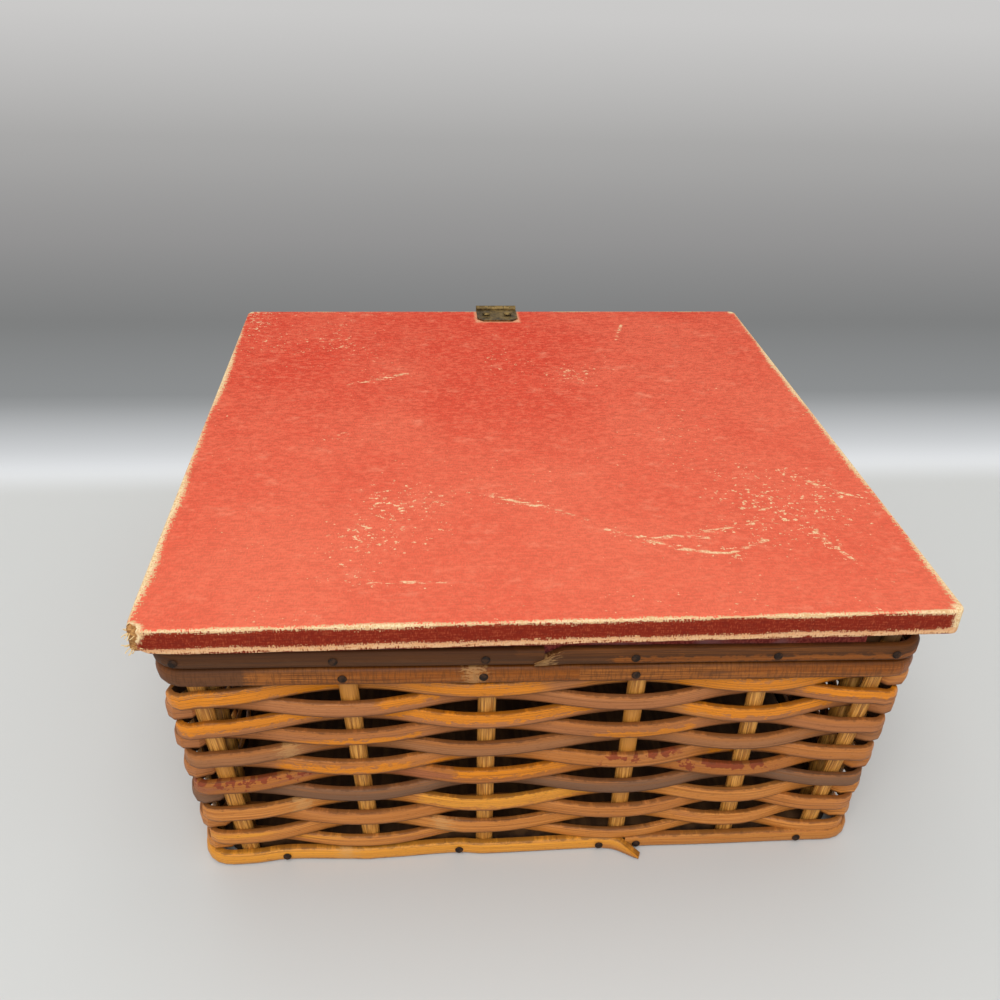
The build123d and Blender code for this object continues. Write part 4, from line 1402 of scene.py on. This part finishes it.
# %% Worn corner
WORN_PLACE = Vector((cover_low.x + 1.5 * MM, cover_low.y + 1.4 * MM, cover_low.z + 6.7 * MM))
WORN_RADIUS = 2.8 * MM
only()
bpy.ops.mesh.primitive_ico_sphere_add(subdivisions=4, radius=WORN_RADIUS, location=WORN_PLACE)
lump = named("lump")
for vertex in lump.data.vertices:
    out = vertex.co - WORN_PLACE
    out.z *= 1.1
    lumps = 0.3 * noise.noise(vertex.co / (1.1 * MM)) + 0.14 * noise.noise(vertex.co / (0.4 * MM))
    vertex.co = WORN_PLACE + out * (1 + lumps)
modify(cover, "BOOLEAN", operation="DIFFERENCE", object=lump, solver="EXACT")
bpy.data.objects.remove(lump)
smooth(cover, 35)
print("lid cover has", len(cover.data.polygons), "faces")

# %% [markdown]
# Loose threads stick out round the hole and along the corner. Each is a short curve with
# a round bevel, which is how a thread is drawn, and it becomes a mesh like everything else.

# %% Frayed threads
THREADS = 20
THREAD_RADIUS = 0.15 * MM
THREAD_LENGTH = (1.0, 2.6)  # in mm
THREAD_DROOP = (-0.3, 0.4)  # in mm
THREAD_TURN = (165, 285)  # degrees round the corner
ROOT_IN = 0.9 * MM  # under the cloth's face
FOOT_ROOTS = (0.4, 2.0)  # above the lid's foot, in mm
TOP_ROOTS = (0.8, 2.2)  # below its top, in mm


def thread(root, tip, droop):
    """One thread from its root to its free tip, sagging by droop on the way."""
    curve = bpy.data.curves.new("thread", "CURVE")
    curve.dimensions = "3D"
    curve.bevel_depth = THREAD_RADIUS
    curve.bevel_resolution = 1
    curve.use_fill_caps = True
    spline = curve.splines.new("BEZIER")
    spline.bezier_points.add(2)
    bow = root.lerp(tip, 0.5) + Vector((0, 0, -droop))
    for point, place in zip(spline.bezier_points, (root, bow, tip)):
        point.co = place
        point.handle_left_type = "AUTO"
        point.handle_right_type = "AUTO"
    piece = bpy.data.objects.new("thread", curve)
    bpy.context.scene.collection.objects.link(piece)
    return piece


draw = random.Random(11)
threads = []
corner_middle = Vector((cover_low.x + CORNER, cover_low.y + CORNER, 0))
for i in range(THREADS):
    turn = math.radians(draw.uniform(*THREAD_TURN))
    outward = Vector((math.cos(turn), math.sin(turn), 0))
    root = corner_middle + outward * (CORNER - ROOT_IN)
    near_foot = cover_low.z + draw.uniform(*FOOT_ROOTS) * MM
    near_top = cover_high.z - draw.uniform(*TOP_ROOTS) * MM
    root.z = draw.choice((near_foot, near_top))
    upward = Vector((0, 0, draw.uniform(-0.7, 0.7)))
    sideways = outward.cross(Vector((0, 0, 1))) * draw.uniform(-0.8, 0.8)
    tip = root + (outward + (upward + sideways)) * draw.uniform(*THREAD_LENGTH) * MM
    threads.append(thread(root, tip, draw.uniform(*THREAD_DROOP) * MM))
only(*threads)
bpy.ops.object.convert(target="MESH")
fray = join(threads, "frayed_threads")
cotton = Finish("cream_thread", roughness=0.85, specular=0.1)
cotton.shader.inputs["Base Color"].default_value = paint(236, 206, 152)
dress(fray, "lid", "book_cloth", cotton)
print("threads:", THREADS)

# %% [markdown]
# ## Book cloth
#
# The cloth is a fine ribbed weave, dyed red on one side only, so the cream thread shows
# wherever it has rubbed: along both arrises, at the corners, and in scratches, scuffs and
# specks on the top. The worn border could be painted by hand. Here it is worked out from
# the distance to the lid's edges, so it stays sharp at any size, and noise makes it ragged.

# %% Weave and worn border
DEEP_RED = paint(130, 30, 4)
TOP_RED = paint(220, 70, 46)
PALE_RED = paint(240, 122, 90)
CREAM = paint(246, 220, 172)


class ClothFinish(Finish):
    """Finish of the lid's cloth, with the patterns that its parts share."""

    def __init__(self, name):
        super().__init__(name, roughness=0.72, specular=0.2)
        self.at = self.place()
        self.x, self.y, self.z = self.axes(self.at)
        ribs = self.noise(self.at, (260, 1900, 1900), detail=2.0, roughness=0.5)
        thread = self.noise(self.at, (2100, 700, 700), (2, 2, 2), 1.0, 0.5)
        self.weave = ribs * 0.5 + thread * 0.5
        self.slub = self.noise(self.at, (430, 640, 640), (8, 2, 5), 3.0, 0.75)
        self.busy = self.noise(self.at, (22, 22, 22), (3, 3, 8), 2.0, 0.5)
        self.ragged = (self.weave - 0.5) * (6 * MM) + (self.busy - 0.5) * (3.6 * MM)
        self.below_top = cover_high.z - self.z
        self.above_foot = self.z - (cover_low.z - LIP)
        self.on_top = self.below_top.step(0.5 * MM, 0.3 * MM)


def worn_border(cloth):
    """1 where the arrises, the corners and the cloth round the hole have worn to the thread."""
    from_x = cover_size.x / 2 - cloth.x.off(cover_middle.x)
    from_y = cover_size.y / 2 - cloth.y.off(cover_middle.y)
    top = most(least(from_x * 0.6, from_y), cloth.below_top) + cloth.ragged
    top = top + cloth.y.step(0.06, 0.13) * (0.5 * MM)
    foot = most(least(from_x, from_y), cloth.above_foot) + cloth.ragged
    corners = most(from_x, from_y) + cloth.ragged
    hole = cloth.distance(cloth.at, WORN_PLACE) + cloth.ragged
    hem = (cloth.above_foot + cloth.ragged).step(0.2 * MM, 0.9 * MM)
    wear = foot.step(2.9 * MM, 2.0 * MM) * hem
    wear = most(wear, top.step(1.3 * MM, 0.6 * MM))
    wear = most(wear, corners.step(4.2 * MM, 2.8 * MM))
    return most(wear, hole.step(4.9 * MM, 3.7 * MM))


# %% [markdown]
# The scratches on the top are straight lines, broken up by noise, with more specks round
# them. The scuffs are round places where specks crowd together. Only the long scratches
# and the large scuffs are placed; noise scatters the specks.

# %% Scratches, scuffs and specks
SCRATCHES = (  # ends in mm
    ((-14, -57), (3, -64.5)),
    ((3, -64.5), (19, -74)),
    ((24, -81), (37, -88)),
    ((37, -88), (63, -96)),
    ((63, -96), (78, -88)),
    ((37, -87), (58, -86)),
    ((55, -83), (76, -78)),
    ((-60, -108), (-32, -109)),
    ((100, -42), (120, -62)),
    ((96, -84), (104, -104)),
    ((58, 93), (64, 112)),
    ((-70, 40), (-44, 52)),
)
SCRATCH_WIDTH = 1.1 * MM
SCRATCH_HAZE = 6 * MM
# Middle and reach in mm, and how much is rubbed
SCUFFS = (((-112, 118), 75, 0.2), ((86, -62), 52, 0.16), ((-48, -78), 40, 0.12), ((20, 60), 60, 0.06))
leaf_low, leaf_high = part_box("hasp_leaf")


def from_line(x, y, start, end):
    """Distance on the lid's top to a straight line between two points in mm."""
    start = Vector(start) * MM
    run = Vector(end) * MM - start
    step = run / run.length_squared
    from_x = x - start.x
    from_y = y - start.y
    along = (from_x * step.x + from_y * step.y).clamped()
    off_x = from_x - along * run.x
    off_y = from_y - along * run.y
    return x.finish.maths("SQRT", off_x * off_x + off_y * off_y)


def top_marks(cloth):
    """1 in the scratches and specks on the top, and less in the faint rub round the hasp's leaf."""
    sway = cloth.noise(cloth.at, (60, 60, 60), (9, 9, 1), 3.0, 0.5) - 0.5
    swayed = cloth.y + sway * (8 * MM)
    breaks = cloth.noise(cloth.at, (220, 640, 640), (6, 4, 2), 3.0, 0.7)
    specks = cloth.noise(cloth.at, (460, 620, 620), (7, 1, 3), 3.0, 0.7)
    whole = breaks.step(0.46, 0.58)
    beside_leaf = cloth.x.off((leaf_low.x + leaf_high.x) / 2) - (leaf_high.x - leaf_low.x) / 2
    round_leaf = most(beside_leaf, leaf_low.y - cloth.y) + cloth.ragged * 0.6
    marks = round_leaf.step(1.8 * MM, 0.2 * MM) * 0.55
    busy = cloth.busy
    for start, end in SCRATCHES:
        away = from_line(cloth.x, swayed, start, end)
        marks = most(marks, away.step(SCRATCH_WIDTH, 0.3 * SCRATCH_WIDTH) * whole)
        busy = busy + away.step(SCRATCH_HAZE, 0.3 * SCRATCH_HAZE) * 0.14
    for (x, y), reach, strength in SCUFFS:
        away = cloth.distance(cloth.at, (x * MM, y * MM, cover_high.z))
        busy = busy + away.step(reach * MM, 0.2 * reach * MM) * strength
    marks = most(marks, (specks + busy * 0.35).step(0.87, 0.92))
    return marks * cloth.on_top


# %% Finish for the lid's cloth
cloth = ClothFinish("red_book_cloth")
wear = worn_border(cloth)
marks = top_marks(cloth)
scuffs = cloth.noise(cloth.at, (80, 130, 80), (5, 1, 5), 5.0, 0.75)
faded = cloth.noise(cloth.at, (14, 14, 14), (1, 9, 1), 4.0)

# The upright sides are a deeper red than the top: partly cloth that has faded less there, partly painted
# shade.
edge = cloth.mix(cloth.weave.step(0.48, 0.64), DEEP_RED, paint(158, 64, 34))
edge = cloth.mix(cloth.slub.step(0.5, 0.36) * 0.3, edge, paint(92, 18, 4))
bare = cloth.mix(cloth.weave.step(0.40, 0.56), paint(222, 176, 126), CREAM)
# painted shade: the worn line along the lid's foot is darker and warmer than the rest of the bare thread
foot_shade = cloth.above_foot.step(3.4 * MM, 2.4 * MM) * 0.45
bare = cloth.mix(foot_shade, bare, paint(222, 134, 80))

cloth.base = cloth.mix(faded.step(0.35, 0.68), TOP_RED, cloth.mix(0.45, TOP_RED, PALE_RED))
cloth.tint(cloth.weave.step(0.56, 0.42), cloth.mix(0.35, cloth.base, DEEP_RED))
cloth.tint(cloth.slub.step(0.46, 0.34) * 0.2, DEEP_RED)
cloth.tint(cloth.slub.step(0.48, 0.62) * 0.45, PALE_RED)
cloth.tint(scuffs.step(0.55, 0.75) * 0.5, paint(246, 158, 124))
# partly painted light and partly fading: the top is paler towards its near edge
cloth.tint(cloth.y.step(0.1, -0.13) * 0.45, PALE_RED)
# the sides take the deeper red, partly as painted shade
cloth.base = cloth.mix(cloth.on_top, edge, cloth.base)
cloth.tint(marks * 0.85, bare)
cloth.tint(wear, bare)
cloth.surface(cloth.weave + wear * 0.6, 0.16 * MM, 0.7)
dress(cover, "lid", "book_cloth", cloth, "lid_cover")
print("the cloth's finish has", len(cloth.tree.nodes), "nodes")

# %% [markdown]
# ## Cloth hinge
#
# The lid turns on a strip of the same cloth: its lower edge is caught between the rim
# strip and the stakes, and its upper edge is glued under the lid. One thin folded sheet
# does it, and its points are placed from the basket at one end and from the lid at the
# other. A simulation could fold it, but it is held on both edges, so its shape is known.

# %% Fold of the hinge cloth
HINGE_TAB = 8.0 * MM  # glued under the lid
HINGE_THICK = 0.4 * MM
HINGE_OFF = 0.25 * MM  # from the stakes to the middle of the cloth
HINGE_BULGE = 0.3 * MM
HINGE_STEPS = 7  # between the rim and the fold
FOLD_IN = 1.5 * MM  # from the lid's back edge
FOLD_BELOW = 1.35 * MM  # the lid's underside
UNDER_IN = 4.0 * MM  # from there on, the cloth lies flat under the lid
hinge_low, hinge_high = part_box("hinge_cloth")
rim_low, rim_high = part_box("rim_strip_upper")


def on_stakes(z):
    """Where the cloth lies against the back's stakes at height z."""
    return Vector((0, stake_at("back", MIDDLE_STAKE, z).y - STAKE_HALF - HINGE_OFF, z))


tail = on_stakes(hinge_low.z)
lip = on_stakes(rim_high.z)
fold = Vector((0, cover_low.y + FOLD_IN, cover_low.z - FOLD_BELOW))
under = Vector((0, cover_low.y + UNDER_IN, hinge_high.z - HINGE_THICK / 2))
glued = Vector((0, fold.y + HINGE_TAB, under.z))
profile = [tail, tail.lerp(lip, 0.5), lip]
for i in range(1, HINGE_STEPS):
    share = i / HINGE_STEPS
    bulge = Vector((0, -HINGE_BULGE, 0)) * math.sin(math.pi * share)
    profile.append(lip.lerp(fold, share) + bulge)
profile += [fold, fold.lerp(under, 0.5), under, glued]
flat_size = (hinge_high.x - hinge_low.x, sum((b - a).length for a, b in zip(profile, profile[1:])))
print("hinge cloth is cut", in_mm(flat_size), "mm")

# %% Hinge cloth
PUCKER = 0.12 * MM
only()
bpy.ops.mesh.primitive_plane_add(size=1.0)
hinge = named("cloth_hinge")
for vertex in hinge.data.vertices:
    vertex.co.x *= flat_size[0]
    vertex.co.y += 0.5
bpy.ops.object.mode_set(mode="EDIT")
select_edges(lambda a, b: abs(a.y - b.y) > 0.5)
bpy.ops.mesh.subdivide(number_cuts=len(profile) - 2)
select_edges(lambda a, b: abs(a.x - b.x) > 0.01)
bpy.ops.mesh.subdivide(number_cuts=60)
bpy.ops.object.mode_set(mode="OBJECT")
for vertex in hinge.data.vertices:
    place = vertex.co.y * (len(profile) - 1)
    index = min(int(place + 1e-4), len(profile) - 2)
    on_profile = profile[index].lerp(profile[index + 1], place - index)
    if 2 < place < len(profile) - 3:
        on_profile.y += PUCKER * noise.noise(Vector((vertex.co.x / (9 * MM), place, 0)))
    vertex.co = Vector((vertex.co.x, on_profile.y, on_profile.z))
bpy.ops.object.mode_set(mode="EDIT")
outward_normals()
bpy.ops.object.mode_set(mode="OBJECT")
modify(hinge, "SOLIDIFY", thickness=HINGE_THICK, offset=0)
smooth(hinge, 50)

hinge_finish = Finish("dark_hinge_cloth", roughness=0.8, specular=0.2)
ribs = hinge_finish.noise(hinge_finish.place(), (1500, 900, 900), detail=2.0)
mauve_patches = hinge_finish.noise(hinge_finish.place(), (60, 90, 90), (3, 3, 3))
hinge_finish.base = hinge_finish.mix(ribs.step(0.4, 0.6), paint(104, 34, 30), paint(142, 62, 52))
# mauve patches on the hinge cloth
hinge_finish.tint(mauve_patches.step(0.45, 0.7), paint(128, 84, 84))
hinge_finish.surface(ribs, 0.15 * MM, 0.7)
hinge.data.materials.append(hinge_finish.material)
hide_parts("hinge_cloth")
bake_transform(hinge)
print("hinge cloth has", len(hinge.data.polygons), "faces")

# %% [markdown]
# ## Board, lining, wood and brass
#
# The remaining pieces keep their CAD shapes, which are already right, and get finishes
# that read their own position: tan pulp board, pale lining paper, bare wood with grain
# along each batten, and brass that has gone dark except where it is handled. They are all
# one coarse pattern over one fine pattern; one function writes the woods, and the others
# are written out one by one.

# %% Finishes for the CAD pieces


def wear_cad(finish, *nodes):
    """Give CAD nodes' own meshes a better finish."""
    for node in nodes:
        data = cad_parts[node].data
        data.materials.clear()
        data.materials.append(finish.material)
    print("new finish on", ", ".join(nodes))


def wood(name, along, light, dark):
    """Bare wood with its grain along one axis."""
    finish = Finish(name, roughness=0.62, specular=0.3)
    scale = tuple(14 if axis == along else 260 for axis in "xyz")
    grain = finish.noise(finish.place(), scale, detail=4.0, roughness=0.6)
    cloud = finish.noise(finish.place(), (25, 25, 25), (3, 1, 2), 2.0)
    finish.base = finish.mix(grain.step(0.35, 0.68), dark, light)
    finish.tint(cloud.step(0.5, 0.72), finish.mix(0.5, finish.base, dark))
    finish.surface(grain, 0.2 * MM, 0.5)
    return finish


# The battens' and the base board's browns are kept dark, partly as painted shade of the closed basket's
# inside.
BATTEN_WOOD = (paint(122, 86, 54), paint(84, 56, 34))
wear_cad(wood("batten_wood_x", "x", *BATTEN_WOOD), "rim_batten_back", "rim_batten_front")
wear_cad(wood("batten_wood_y", "y", *BATTEN_WOOD), "rim_batten_right", "rim_batten_left")
wear_cad(wood("base_wood", "y", paint(104, 72, 44), paint(70, 46, 28)), "base_board")

# %% Board, paper and brass
board = Finish("pulp_board", roughness=0.9, specular=0.15)
fibre = board.noise(board.place(), (900, 900, 1600), detail=4.0, roughness=0.65)
clump = board.noise(board.place(), (260, 260, 260), (2, 2, 2), roughness=0.6)
board.base = board.mix(fibre.step(0.35, 0.65), paint(138, 92, 50), paint(206, 152, 92))
board.tint(clump.step(0.5, 0.68), paint(112, 74, 42))
board.surface(fibre + clump, 0.5 * MM, 0.9)
wear_cad(board, "lid_board")

paper = Finish("lining_paper", roughness=0.85, specular=0.15)
pulp = paper.noise(paper.place(), (500, 500, 500), detail=4.0, roughness=0.6)
foxing = paper.noise(paper.place(), (30, 30, 30), (4, 4, 4), 4.0, 0.6)
paper.base = paper.mix(pulp.step(0.3, 0.7), paint(206, 190, 156), paint(224, 210, 178))
paper.tint(foxing.step(0.56, 0.74), paint(188, 160, 116))
paper.surface(pulp, 0.08 * MM, 0.4)
wear_cad(paper, "lid_lining")

BRASS_NODES = ("hasp_leaf", "hasp_strap", "hasp_pin", "keeper_plate", "keeper_button", "keeper_nails")
brass = Finish("aged_brass", metallic=0.85, specular=0.5)
tarnish = brass.noise(brass.place(), (260, 260, 260), detail=4.0, roughness=0.6)
pits = brass.noise(brass.place(), (1100, 1100, 1100), (1, 1, 1))
brass.base = brass.mix(tarnish.step(0.36, 0.66), paint(78, 62, 36), paint(142, 118, 72))
brass.tint(pits.step(0.42, 0.30), paint(60, 58, 40))
brass.roughness(tarnish * 0.35 + 0.34)
brass.surface(pits + tarnish, 0.08 * MM, 0.6)
wear_cad(brass, *BRASS_NODES)

# %% Nails of the hasp
HASP_HEAD = 2.2 * MM
HASP_HEAD_HEIGHT = 0.9 * MM
PLATE_BELOW = 0.7 * MM  # the nails' tops
nails_low, nails_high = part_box("hasp_nails")
places = []
for x in (nails_low.x + HASP_HEAD, nails_high.x - HASP_HEAD):
    point = Vector((x, (nails_low.y + nails_high.y) / 2, nails_high.z - PLATE_BELOW))
    places.append((point, Vector((0, 0, 1))))
nail_group("hasp_nails", places, HASP_HEAD, HASP_HEAD_HEIGHT, "aged_brass", brass, "lid")

# %% Print the visual box
visual_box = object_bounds()
print("visual box in mm", [in_mm(corner) for corner in visual_box])
